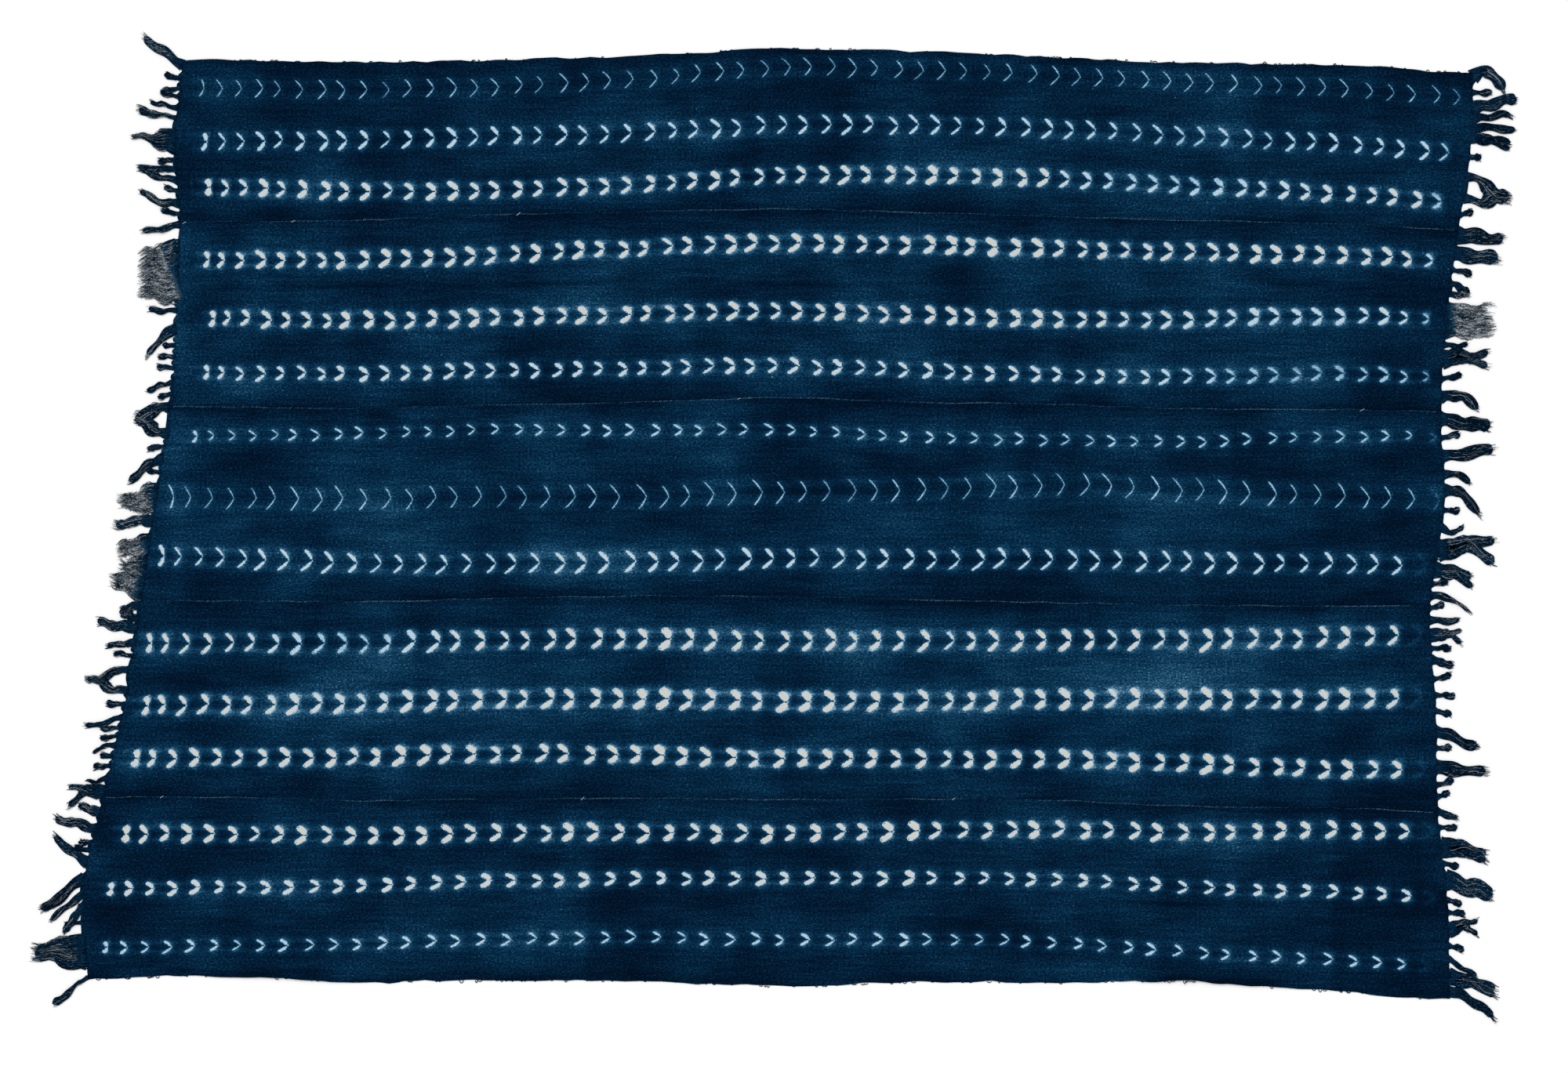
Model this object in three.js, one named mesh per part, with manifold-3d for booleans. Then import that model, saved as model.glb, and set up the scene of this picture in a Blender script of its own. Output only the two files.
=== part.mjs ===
import * as THREE from "three";
import { mergeVertices } from "three/addons/utils/BufferGeometryUtils.js";
import Module from "manifold-3d";

// An indigo resist-dyed cotton cloth lying face up, in millimetres, with +Y towards its top edge.
// Five woven strips run from left to right, sewn edge to edge, with a fringe of warp ends at each end.

const wasm = await Module();
wasm.setup();

// Woven sheet
const CLOTH_THICKNESS = 1.6;
const SEAM_GAP = 0.4;
const STRIP_COUNT = 5;
const CELLS_ALONG = 40;
const CELLS_ACROSS = 4;
const HALVINGS = 30;

// Fringe
const FRINGE_GAP = 0.4;
const SPINE_WIDTH = 3;
const FRINGE_THICKNESS = 3;
const BOWED_STEPS = 4;
const TIP_ROUNDING = 4;
const FORK_START = 0.45;
const FLATNESS = 0.05;
const STUB_PITCH = { left: 14, right: 19 };
const STUB_REACH = 13;
const STUB_REACH_SPREAD = 9;
const STUB_REACH_WAVE = 1.7;
const STUB_DRIFT = 5;
const STUB_DRIFT_WAVE = 0.9;
const STUB_ROOT = 4;
const STUB_TIP = 7.6;

// Colours
const INDIGO = 0x0a2c4c;
const FRINGE_INDIGO = 0x1a3145;
const COTTON_ROUGHNESS = 0.95;

// Stations where the heights of the long lines are given, from the left end to the right end.
const FIRST_STATION = -820;
const STATION_STEP = 166;

// Height of each long edge and seam at the eleven stations.
const LONG_LINES = [
  { line: "top_edge", heights: [556, 555, 553, 555, 560, 569, 565, 558, 552, 549, 540] },
  { line: "seam_1", heights: [361, 363, 365, 371, 375, 378, 374, 369, 364, 361, 352] },
  { line: "seam_2", heights: [145, 143, 142, 146, 149, 154, 149, 146, 141, 140, 137] },
  { line: "seam_3", heights: [-87, -87, -88, -84, -81, -82, -86, -89, -92, -93, -92] },
  { line: "seam_4", heights: [-320, -320, -324, -322, -321, -323, -322, -324, -331, -333, -339] },
  { line: "bottom_edge", heights: [-537, -532, -539, -538, -538, -545, -540, -540, -539, -551, -561] },
];

// Where the cloth ends at each long line and half-way across each strip, from top to bottom.
const CLOTH_ENDS = [
  { place: "top_edge", left: -702, right: 832 },
  { place: "strip_1", left: -711, right: 828 },
  { place: "seam_1", left: -705, right: 814 },
  { place: "strip_2", left: -709, right: 800 },
  { place: "seam_2", left: -716, right: 794 },
  { place: "strip_3", left: -734, right: 798 },
  { place: "seam_3", left: -751, right: 781 },
  { place: "strip_4", left: -770, right: 788 },
  { place: "seam_4", left: -796, right: 790 },
  { place: "strip_5", left: -820, right: 802 },
  { place: "bottom_edge", left: -815, right: 804 },
];

// Low swells of the cloth: centre, half length along X, half width along Y and rise.
const SWELLS = [
  { x: -103, y: 292, along: 260, across: 62, rise: 2.4 },
  { x: 600, y: 284, along: 150, across: 60, rise: 2.0 },
  { x: -587, y: -540, along: 120, across: 75, rise: 3.0 },
  { x: 515, y: -550, along: 150, across: 80, rise: 3.2 },
  { x: 330, y: -205, along: 260, across: 80, rise: 2.2 },
  { x: 69, y: 500, along: 240, across: 70, rise: 2.2 },
  { x: -480, y: 60, along: 170, across: 75, rise: 2.0 },
  { x: -420, y: -250, along: 220, across: 66, rise: 2.2 },
];

// Tassels from top to bottom: root along the edge, reach past it, drift of the tip (up is plus),
// bow of the middle, width at the root and at the tip, and drop to a second tip (0 for a single one).
const LEFT_TASSELS = [
  { at: 549, reach: 45, drift: 34, bow: 0, root: 11, tip: 11, fork: 0 },
  { at: 498, reach: 32, drift: 8, bow: 0, root: 6, tip: 5, fork: 0 },
  { at: 486, reach: 46, drift: 10, bow: 0, root: 4, tip: 9, fork: 0 },
  { at: 459, reach: 49, drift: 6, bow: 0, root: 28, tip: 6, fork: 0 },
  { at: 419, reach: 45, drift: 7, bow: 0, root: 19, tip: 9, fork: 0 },
  { at: 385, reach: 46, drift: 14, bow: -4, root: 9, tip: 8, fork: 0 },
  { at: 360, reach: 46, drift: -10, bow: 0, root: 8, tip: 7, fork: 0 },
  { at: 306, reach: 47, drift: -8, bow: 0, root: 74, tip: 58, fork: 0 },
  { at: 258, reach: 33, drift: 0, bow: 0, root: 6, tip: 7, fork: 0 },
  { at: 236, reach: 35, drift: -36, bow: 5, root: 12, tip: 7, fork: 0 },
  { at: 173, reach: 30, drift: -10, bow: 0, root: 6, tip: 6, fork: 0 },
  { at: 127, reach: 40, drift: 3, bow: 0, root: 42, tip: 16, fork: 0 },
  { at: 82, reach: 40, drift: -29, bow: 4, root: 11, tip: 9, fork: 0 },
  { at: 36, reach: 44, drift: -7, bow: 0, root: 36, tip: 18, fork: 0 },
  { at: 8, reach: 45, drift: -3, bow: 0, root: 13, tip: 11, fork: 0 },
  { at: -18, reach: 38, drift: -10, bow: 0, root: 24, tip: 18, fork: 0 },
  { at: -44, reach: 32, drift: -3, bow: 0, root: 24, tip: 18, fork: 0 },
  { at: -73, reach: 38, drift: 12, bow: 0, root: 30, tip: 17, fork: 0 },
  { at: -100, reach: 22, drift: 0, bow: 0, root: 22, tip: 14, fork: 0 },
  { at: -120, reach: 46, drift: 8, bow: 0, root: 13, tip: 11, fork: 0 },
  { at: -136, reach: 33, drift: -5, bow: 0, root: 8, tip: 7, fork: 0 },
  { at: -181, reach: 49, drift: 0, bow: 0, root: 32, tip: 8, fork: 0 },
  { at: -225, reach: 42, drift: -12, bow: 0, root: 6, tip: 6, fork: 0 },
  { at: -259, reach: 26, drift: -9, bow: 4, root: 5, tip: 4, fork: 0 },
  { at: -295, reach: 25, drift: -5, bow: -4, root: 5, tip: 4, fork: 0 },
  { at: -314, reach: 43, drift: 6, bow: 0, root: 14, tip: 8, fork: 24 },
  { at: -338, reach: 24, drift: 8, bow: 0, root: 11, tip: 9, fork: 0 },
  { at: -358, reach: 47, drift: 14, bow: 0, root: 12, tip: 10, fork: 0 },
  { at: -398, reach: 39, drift: 33, bow: 0, root: 11, tip: 10, fork: 0 },
  { at: -416, reach: 51, drift: -40, bow: 0, root: 12, tip: 12, fork: 0 },
  { at: -435, reach: 38, drift: -32, bow: 0, root: 8, tip: 7, fork: 0 },
  { at: -450, reach: 22, drift: -32, bow: 0, root: 9, tip: 8, fork: 0 },
  { at: -503, reach: 61, drift: 0, bow: 0, root: 42, tip: 22, fork: 0 },
  { at: -534, reach: 40, drift: -33, bow: 0, root: 4, tip: 9, fork: 0 },
];

const RIGHT_TASSELS = [
  { at: 535, reach: 37, drift: -20, bow: 15, root: 12, tip: 11, fork: 0 },
  { at: 498, reach: 52, drift: 12, bow: 0, root: 12, tip: 11, fork: 0 },
  { at: 484, reach: 47, drift: 4, bow: 3, root: 8, tip: 7, fork: 0 },
  { at: 474, reach: 51, drift: 0, bow: 0, root: 8, tip: 8, fork: 0 },
  { at: 463, reach: 47, drift: -5, bow: 0, root: 9, tip: 6, fork: 9 },
  { at: 404, reach: 53, drift: -15, bow: 0, root: 34, tip: 14, fork: 0 },
  { at: 347, reach: 54, drift: -5, bow: 0, root: 17, tip: 12, fork: 0 },
  { at: 326, reach: 52, drift: -8, bow: 0, root: 15, tip: 14, fork: 0 },
  { at: 284, reach: 22, drift: -6, bow: 0, root: 18, tip: 10, fork: 0 },
  { at: 246, reach: 56, drift: 0, bow: 0, root: 42, tip: 38, fork: 0 },
  { at: 217, reach: 27, drift: -1, bow: 0, root: 5, tip: 5, fork: 0 },
  { at: 200, reach: 53, drift: 7, bow: 0, root: 15, tip: 8, fork: 17 },
  { at: 155, reach: 43, drift: -14, bow: 8, root: 11, tip: 10, fork: 0 },
  { at: 129, reach: 58, drift: -10, bow: 0, root: 14, tip: 14, fork: 0 },
  { at: 85, reach: 60, drift: 8, bow: 0, root: 12, tip: 13, fork: 0 },
  { at: 63, reach: 30, drift: -11, bow: 5, root: 7, tip: 7, fork: 0 },
  { at: 44, reach: 42, drift: -32, bow: 10, root: 11, tip: 9, fork: 0 },
  { at: 0, reach: 24, drift: 4, bow: -8, root: 6, tip: 5, fork: 0 },
  { at: -27, reach: 66, drift: 14, bow: 0, root: 18, tip: 12, fork: 28 },
  { at: -50, reach: 44, drift: -6, bow: 0, root: 14, tip: 9, fork: 14 },
  { at: -81, reach: 46, drift: -23, bow: 8, root: 8, tip: 4, fork: 0 },
  { at: -110, reach: 35, drift: 0, bow: 0, root: 7, tip: 7, fork: 0 },
  { at: -128, reach: 36, drift: 5, bow: 0, root: 11, tip: 6, fork: 13 },
  { at: -157, reach: 24, drift: -7, bow: 0, root: 8, tip: 8, fork: 0 },
  { at: -242, reach: 49, drift: -19, bow: 0, root: 11, tip: 10, fork: 0 },
  { at: -284, reach: 60, drift: -7, bow: 0, root: 15, tip: 10, fork: 0 },
  { at: -337, reach: 23, drift: -9, bow: 0, root: 7, tip: 7, fork: 0 },
  { at: -380, reach: 54, drift: -4, bow: 0, root: 17, tip: 9, fork: 16 },
  { at: -418, reach: 55, drift: -18, bow: 0, root: 18, tip: 18, fork: 0 },
  { at: -478, reach: 34, drift: 14, bow: 0, root: 12, tip: 6, fork: 22 },
  { at: -512, reach: 32, drift: -20, bow: -2, root: 5, tip: 5, fork: 0 },
  { at: -533, reach: 56, drift: -14, bow: 0, root: 13, tip: 8, fork: 12 },
  { at: -551, reach: 53, drift: -34, bow: 6, root: 10, tip: 9, fork: 0 },
];

// Smooth curve through evenly spaced values; place runs from 0 to the last index.
function smooth(values, place) {
  const last = values.length - 1;
  const i = Math.min(Math.max(Math.floor(place), 0), last - 1);
  const f = place - i;
  const a = values[Math.max(i - 1, 0)];
  const b = values[i];
  const c = values[i + 1];
  const d = values[Math.min(i + 2, last)];
  const bend = 2 * a - 5 * b + 4 * c - d + f * (3 * (b - c) + d - a);
  return b + 0.5 * f * (c - a + f * bend);
}

// Height of a long line, counted from the top edge, at x.
function lineHeight(line, x) {
  return smooth(LONG_LINES[line].heights, (x - FIRST_STATION) / STATION_STEP);
}

// Point on the left or right end of the cloth; across counts strips from the top edge.
function endPoint(side, across) {
  const x = smooth(CLOTH_ENDS.map((row) => row[side]), 2 * across);
  const strip = Math.min(Math.floor(across), STRIP_COUNT - 1);
  const upper = lineHeight(strip, x);
  const lower = lineHeight(strip + 1, x);
  return new THREE.Vector2(x, upper + (lower - upper) * (across - strip));
}

// Where the end of the cloth stands at height y, found by halving the span that holds it.
function endAtHeight(side, y) {
  let above = 0;
  let below = STRIP_COUNT;
  for (let i = 0; i < HALVINGS; i += 1) {
    const middle = (above + below) / 2;
    if (endPoint(side, middle).y > y) {
      above = middle;
    } else {
      below = middle;
    }
  }
  return endPoint(side, above).x;
}

// Rise of the cloth off the surface it lies on.
function rise(x, y) {
  let height = 0;
  for (const swell of SWELLS) {
    const along = (x - swell.x) / swell.along;
    const across = (y - swell.y) / swell.across;
    const inside = Math.max(1 - along * along - across * across, 0);
    height += swell.rise * inside * inside;
  }
  return height;
}

// One woven strip: an even sheet that follows its two long lines, its ends and the swells.
function stripGeometry(strip) {
  const columns = CELLS_ALONG + 1;
  const rows = CELLS_ACROSS + 1;
  const layer = columns * rows;
  const positions = [];
  for (const level of [CLOTH_THICKNESS, 0]) {
    for (let j = 0; j < rows; j += 1) {
      const across = j / CELLS_ACROSS;
      const left = endPoint("left", strip + across).x;
      const right = endPoint("right", strip + across).x;
      for (let i = 0; i < columns; i += 1) {
        const x = left + ((right - left) * i) / CELLS_ALONG;
        const upper = lineHeight(strip, x) - SEAM_GAP / 2;
        const lower = lineHeight(strip + 1, x) + SEAM_GAP / 2;
        const y = upper + (lower - upper) * across;
        positions.push(x, y, level + rise(x, y));
      }
    }
  }
  const index = [];
  for (let j = 0; j < CELLS_ACROSS; j += 1) {
    for (let i = 0; i < CELLS_ALONG; i += 1) {
      const a = j * columns + i;
      const b = a + 1;
      const c = a + columns;
      const d = c + 1;
      index.push(a, c, b, b, c, d);
      index.push(layer + a, layer + b, layer + c, layer + b, layer + d, layer + c);
    }
  }
  const rim = [];
  for (let i = 0; i < CELLS_ALONG; i += 1) {
    rim.push(i);
  }
  for (let j = 0; j < CELLS_ACROSS; j += 1) {
    rim.push(j * columns + CELLS_ALONG);
  }
  for (let i = CELLS_ALONG; i > 0; i -= 1) {
    rim.push(CELLS_ACROSS * columns + i);
  }
  for (let j = CELLS_ACROSS; j > 0; j -= 1) {
    rim.push(j * columns);
  }
  for (let k = 0; k < rim.length; k += 1) {
    const p = rim[k];
    const q = rim[(k + 1) % rim.length];
    index.push(p, q, layer + p, q, layer + q, layer + p);
  }
  const geometry = new THREE.BufferGeometry();
  geometry.setAttribute("position", new THREE.Float32BufferAttribute(positions, 3));
  geometry.setIndex(index);
  return geometry;
}

// The narrow heading that runs along a cloth end and carries its tassels.
function spineOutline(side, out) {
  const inner = [];
  const outer = [];
  for (let k = 0; k <= STRIP_COUNT * CELLS_ACROSS; k += 1) {
    const edge = endPoint(side, k / CELLS_ACROSS);
    inner.push(new THREE.Vector2(edge.x + out * FRINGE_GAP, edge.y));
    outer.push(new THREE.Vector2(edge.x + out * (FRINGE_GAP + SPINE_WIDTH), edge.y));
  }
  return inner.concat(outer.reverse());
}

// Outline of a tassel from fraction start of its length to its tip, which drops by fork.
function tasselOutline(side, out, tassel, start, fork) {
  const steps = tassel.bow === 0 ? 1 : BOWED_STEPS;
  const heading = FRINGE_GAP + SPINE_WIDTH / 2;
  const upper = [];
  const lower = [];
  let tip;
  for (let i = 0; i <= steps; i += 1) {
    const f = start + ((1 - start) * i) / steps;
    const half = (tassel.root + (tassel.tip - tassel.root) * f) / (fork > 0 ? 4 : 2);
    const y = tassel.at + tassel.drift * f + 4 * tassel.bow * f * (1 - f) - (fork * i) / steps;
    const x = endAtHeight(side, tassel.at) + out * (heading + (tassel.reach - heading) * f);
    const climb = tassel.drift - fork + 4 * tassel.bow * (1 - 2 * f);
    const turn = Math.atan2(climb, tassel.reach) * f;
    if (f === 0) {
      upper.push(new THREE.Vector2(endAtHeight(side, y + half) + out * heading, y + half));
      lower.push(new THREE.Vector2(endAtHeight(side, y - half) + out * heading, y - half));
    } else {
      const normal = new THREE.Vector2(-out * Math.sin(turn), Math.cos(turn)).multiplyScalar(half);
      upper.push(new THREE.Vector2(x + normal.x, y + normal.y));
      lower.push(new THREE.Vector2(x - normal.x, y - normal.y));
    }
    const nose = Math.min(half / 2, TIP_ROUNDING);
    tip = new THREE.Vector2(x + out * Math.cos(turn) * nose, y + Math.sin(turn) * nose);
  }
  return upper.concat([tip], lower.reverse());
}

// Short knotted ends that fill the gaps between the tassels.
function stubs(side, tassels) {
  const rows = [];
  for (let k = 0; k + 1 < tassels.length; k += 1) {
    const above = tassels[k].at - tassels[k].root / 2;
    const below = tassels[k + 1].at + tassels[k + 1].root / 2;
    const count = Math.floor((above - below) / STUB_PITCH[side]);
    for (let i = 1; i <= count; i += 1) {
      const at = above + ((below - above) * i) / (count + 1);
      const wave = Math.sin(at * STUB_REACH_WAVE);
      const reach = STUB_REACH + STUB_REACH_SPREAD * wave * wave;
      const drift = STUB_DRIFT * Math.sin(at * STUB_DRIFT_WAVE);
      rows.push({ at, reach, drift, bow: 0, root: STUB_ROOT, tip: STUB_TIP, fork: 0 });
    }
  }
  return rows;
}

// A flat bar of the fringe's thickness with the given outline, as a closed solid.
function barSolid(outline) {
  const shape = new THREE.Shape(outline);
  const extruded = new THREE.ExtrudeGeometry(shape, { depth: FRINGE_THICKNESS, bevelEnabled: false });
  extruded.deleteAttribute("normal");
  extruded.deleteAttribute("uv");
  const bar = mergeVertices(extruded);
  const vertProperties = new Float32Array(bar.attributes.position.array);
  const triVerts = new Uint32Array(bar.index.array);
  return new wasm.Manifold(new wasm.Mesh({ numProp: 3, vertProperties, triVerts }));
}

// Rings of points round the top face of the joined bars: its outline and its holes.
function topRings({ vertProperties, triVerts, numProp }) {
  const isTop = (vertex) => vertProperties[numProp * vertex + 2] > FRINGE_THICKNESS / 2;
  const edges = new Set();
  for (let t = 0; t < triVerts.length; t += 3) {
    const [a, b, c] = triVerts.slice(t, t + 3);
    if (isTop(a) && isTop(b) && isTop(c)) {
      edges.add(`${a} ${b}`).add(`${b} ${c}`).add(`${c} ${a}`);
    }
  }
  const next = new Map();
  for (const edge of edges) {
    const [from, to] = edge.split(" ").map(Number);
    if (!edges.has(`${to} ${from}`)) {
      next.set(from, to);
    }
  }
  const rings = [];
  while (next.size > 0) {
    const ring = [];
    let [vertex] = next.keys();
    while (next.has(vertex)) {
      const [x, y] = vertProperties.slice(numProp * vertex, numProp * vertex + 2);
      ring.push(new THREE.Vector2(x, y));
      const following = next.get(vertex);
      next.delete(vertex);
      vertex = following;
    }
    rings.push(ring);
  }
  return rings;
}

// The ring without the points that stand hardly off the line between their neighbours.
function straightened(ring) {
  const kept = [...ring];
  let i = 0;
  while (i < kept.length && kept.length > 2) {
    const before = kept.at(i - 1);
    const after = kept[(i + 1) % kept.length];
    const chord = after.clone().sub(before);
    const area = chord.cross(kept[i].clone().sub(before));
    if (Math.abs(area) < FLATNESS * chord.length()) {
      kept.splice(i, 1);
      i = Math.max(i - 1, 0);
    } else {
      i += 1;
    }
  }
  return kept;
}

// A whole fringe: heading, tassels, second tips and stubs joined into one flat comb with its holes.
function fringeGeometry(side, tassels) {
  const out = side === "left" ? -1 : 1;
  const outlines = [spineOutline(side, out)];
  for (const tassel of tassels.concat(stubs(side, tassels))) {
    outlines.push(tasselOutline(side, out, tassel, 0, 0));
    if (tassel.fork > 0) {
      outlines.push(tasselOutline(side, out, tassel, FORK_START, tassel.fork));
    }
  }
  const joined = outlines.map(barSolid).reduce((comb, bar) => comb.add(bar));
  const rings = topRings(joined.getMesh()).map(straightened).filter((ring) => ring.length > 2);
  const outer = rings.find((ring) => THREE.ShapeUtils.area(ring) > 0);
  const holes = rings.filter((ring) => THREE.ShapeUtils.area(ring) < 0);
  const shape = new THREE.Shape(outer);
  shape.holes = holes.map((ring) => new THREE.Path(ring));
  return new THREE.ExtrudeGeometry(shape, { depth: FRINGE_THICKNESS, bevelEnabled: false });
}

function cottonMesh(name, geometry, color) {
  const material = new THREE.MeshStandardMaterial({ color, roughness: COTTON_ROUGHNESS, metalness: 0 });
  const mesh = new THREE.Mesh(geometry, material);
  mesh.name = name;
  return mesh;
}

const cloth = new THREE.Group();
for (let strip = 0; strip < STRIP_COUNT; strip += 1) {
  cloth.add(cottonMesh(`strip_${strip + 1}`, stripGeometry(strip), INDIGO));
}
cloth.add(cottonMesh("fringe_left", fringeGeometry("left", LEFT_TASSELS), FRINGE_INDIGO));
cloth.add(cottonMesh("fringe_right", fringeGeometry("right", RIGHT_TASSELS), FRINGE_INDIGO));

export default cloth;
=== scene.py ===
import math
from collections import namedtuple

import bpy
import numpy as np
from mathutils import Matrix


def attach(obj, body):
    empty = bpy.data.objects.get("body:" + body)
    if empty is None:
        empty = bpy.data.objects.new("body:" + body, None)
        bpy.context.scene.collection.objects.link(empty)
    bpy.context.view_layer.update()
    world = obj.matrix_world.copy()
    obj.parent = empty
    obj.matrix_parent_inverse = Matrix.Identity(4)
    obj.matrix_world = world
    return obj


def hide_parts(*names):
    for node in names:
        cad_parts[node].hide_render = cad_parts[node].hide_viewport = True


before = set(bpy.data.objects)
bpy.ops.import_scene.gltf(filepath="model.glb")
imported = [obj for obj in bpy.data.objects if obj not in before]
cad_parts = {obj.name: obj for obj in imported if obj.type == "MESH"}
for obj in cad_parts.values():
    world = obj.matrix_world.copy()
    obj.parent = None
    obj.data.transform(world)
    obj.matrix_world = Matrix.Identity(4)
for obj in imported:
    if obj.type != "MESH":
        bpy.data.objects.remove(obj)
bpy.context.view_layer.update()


def table(kind, *rows):
    """Rows of plain numbers as a tuple of one kind."""
    return tuple(kind(*row) for row in rows)


# An indigo resist-dyed cotton cloth lying face up. Tables are in millimetres, meshes in metres.
MM = 0.001
STRIPS = 5
CLOTH_THICKNESS = 1.4
SHEET_COLUMNS = 190
SHEET_ROWS = 110
EDGE_ROUNDING = 0.6
END_INSET = 1.2
END_WAVER = 0.8
FIRST_STATION = -820
STATION_STEP = 166

# Span of the random curves that the edges, seams and creases follow.
WANDER_START = -1000
WANDER_LENGTH = 4000

# Heights of the top edge, the four seams and the bottom edge at eleven stations from left to right.
LONG_LINES = (
    (556, 555, 553, 555, 560, 569, 565, 558, 552, 549, 540),
    (361, 363, 365, 371, 375, 378, 374, 369, 364, 361, 352),
    (145, 143, 142, 146, 149, 154, 149, 146, 141, 140, 137),
    (-87, -87, -88, -84, -81, -82, -86, -89, -92, -93, -92),
    (-320, -320, -324, -322, -321, -323, -322, -324, -331, -333, -339),
    (-537, -532, -539, -538, -538, -545, -540, -540, -539, -551, -561),
)

# Left and right end of the cloth at each long line and half-way across each strip.
CLOTH_ENDS = {
    "left": (-702, -711, -705, -709, -716, -734, -751, -770, -796, -820, -815),
    "right": (832, 828, 814, 800, 794, 798, 781, 788, 790, 802, 804),
}

# Low swells of the cloth.
Place = namedtuple("Place", "x y half_length half_width amount")
SWELLS = table(
    Place,
    (-103, 292, 260, 62, 2.4),
    (600, 284, 150, 60, 2.0),
    (-587, -540, 120, 75, 3.0),
    (515, -550, 150, 80, 3.2),
    (330, -205, 260, 80, 2.2),
    (69, 500, 240, 70, 2.2),
    (-480, 60, 170, 75, 2.0),
    (-420, -250, 220, 66, 2.2),
)

# Stitched marks in each strip. They crowd together at the left end.
MARKS_PER_STRIP = (58, 58, 56, 56, 55)
CROWDING = 0.85
CROWDED_MARKS = 4.5

# Make-up of a mark, in millimetres and in shares of its row's sizes. Its size, fatness and slip have
# some chance in common with the marks above and below it in the same strip.
MARK_SHIFT = 2.2
MARK_SIZE = 0.92
MARK_SIZE_CHANCE = 0.16
MARK_SIZE_SWELL = 0.5
MARK_FATNESS = 0.74
MARK_FAT_COMMON = 0.30
MARK_FAT_OWN = 0.22
MARK_FAT_FIRST = 0.15
MARK_BOB = 2.4
MARK_SLIP = 4.6
MARK_SLANT = 0.34
FIRST_MARK_UPRIGHT = 0.42
ARM_BOW = 0.20
LEAF_MIDDLE = 0.58
LEAF_HALF = 0.45
LEAF_WIDTH = 0.51
NECK_WIDTH = 0.36
WIDEST_NECK = 0.75
CORE_SOFTNESS = 1.25
FRAYING = 0.7
MOST_FRAYING = 3.4
GLOW_FADE = 0.30
HOLE_PLACE = 0.93

# Rows of arrow marks, three to a strip: depth under the strip's upper line at five stations, first
# and last mark, half height, reach and width of an arm, white of the core, halo round it, light haze
# along the row, lean of the mark, and strength and size of the row's last mark.
ROW_START = -740
ROW_STEP = 370
Row = namedtuple("Row", "depths first last half_height reach width white halo haze lean ghost final")
ROWS = table(
    Row,
    ((33, 32, 23, 22, 29), -682, 810, 10.5, 8.7, 1.8, 0.86, 0.16, 0.06, 0.02, 0.95, 0.95),
    ((97, 91, 91, 85, 95), -679, 796, 10.6, 10.5, 4.1, 0.9, 0.34, 0.11, 0.03, 0.95, 1.0),
    ((151, 154, 151, 144, 154), -675, 787, 9.4, 11.2, 5.6, 0.98, 0.46, 0.18, 0.03, 0.9, 0.95),
    ((45, 47, 40, 38, 37), -677, 778, 9.5, 11.8, 5.9, 1.0, 0.48, 0.2, 0.05, 0.95, 0.7),
    ((113, 121, 121, 121, 108), -670, 774, 9.2, 11.8, 5.8, 1.0, 0.48, 0.2, 0.05, 0.9, 0.6),
    ((178, 184, 186, 188, 177), -677, 774, 8.2, 11.0, 4.8, 0.95, 0.42, 0.15, 0.04, 0.9, 0.62),
    ((35, 29, 38, 42, 30), -690, 779, 6.3, 9.3, 3.0, 0.86, 0.34, 0.09, 0.02, 0.85, 0.7),
    ((107, 109, 112, 95, 104), -718, 782, 13.3, 9.2, 2.0, 0.86, 0.18, 0.09, 0.02, 0.75, 0.95),
    ((177, 187, 190, 183, 183), -730, 766, 11.6, 11.2, 4.1, 0.92, 0.36, 0.14, 0.1, 0.5, 0.95),
    ((50, 49, 52, 44, 36), -745, 762, 11.4, 11.0, 5.4, 1.0, 0.46, 0.19, 0.13, 0.4, 0.95),
    ((124, 119, 124, 114, 110), -749, 762, 11.0, 11.6, 6.1, 1.0, 0.5, 0.23, 0.13, 0.4, 0.95),
    ((187, 184, 192, 186, 195), -761, 766, 9.8, 12.0, 6.4, 1.0, 0.5, 0.23, 0.12, 0.4, 0.95),
    ((43, 41, 40, 34, 25), -772, 776, 9.3, 12.5, 6.4, 1.0, 0.46, 0.18, 0.1, 0.4, 0.95),
    ((109, 98, 94, 94, 101), -790, 779, 7.0, 12.0, 5.3, 0.97, 0.42, 0.14, 0.08, 0.4, 0.95),
    ((178, 167, 166, 169, 182), -796, 773, 6.6, 10.5, 3.5, 0.88, 0.38, 0.1, 0.05, 0.4, 0.95),
)

# Rows whose fat marks keep a needle hole near the tips of their arms.
HOLED_ROWS = range(9, 13)

# Places where the binding was tighter, so that the marks are fatter and their haze runs together.
TIGHT_PLACES = table(
    Place,
    (235, 350, 70, 75, 0.3),
    (-155, -175, 48, 90, 0.32),
    (20, -215, 62, 60, 0.34),
    (-200, -400, 120, 40, 0.18),
    (660, -150, 110, 60, 0.16),
    (480, 430, 120, 40, -0.12),
    (-500, -140, 90, 60, -0.1),
    (620, 200, 130, 60, -0.14),
)

# Depth of the plain dye, how much darker it is at the seams, and the shade painted into the tone just
# below the creases.
PLAIN_DYE = 0.20
SEAM_DARK = 0.08
SEAM_DARK_WIDTH = 9
CREASE_PAINTED_SHADE = 0.09
CREASE_SHADE_WIDTH = 3.5
CREASE_SHADE_DROP = 4

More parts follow.
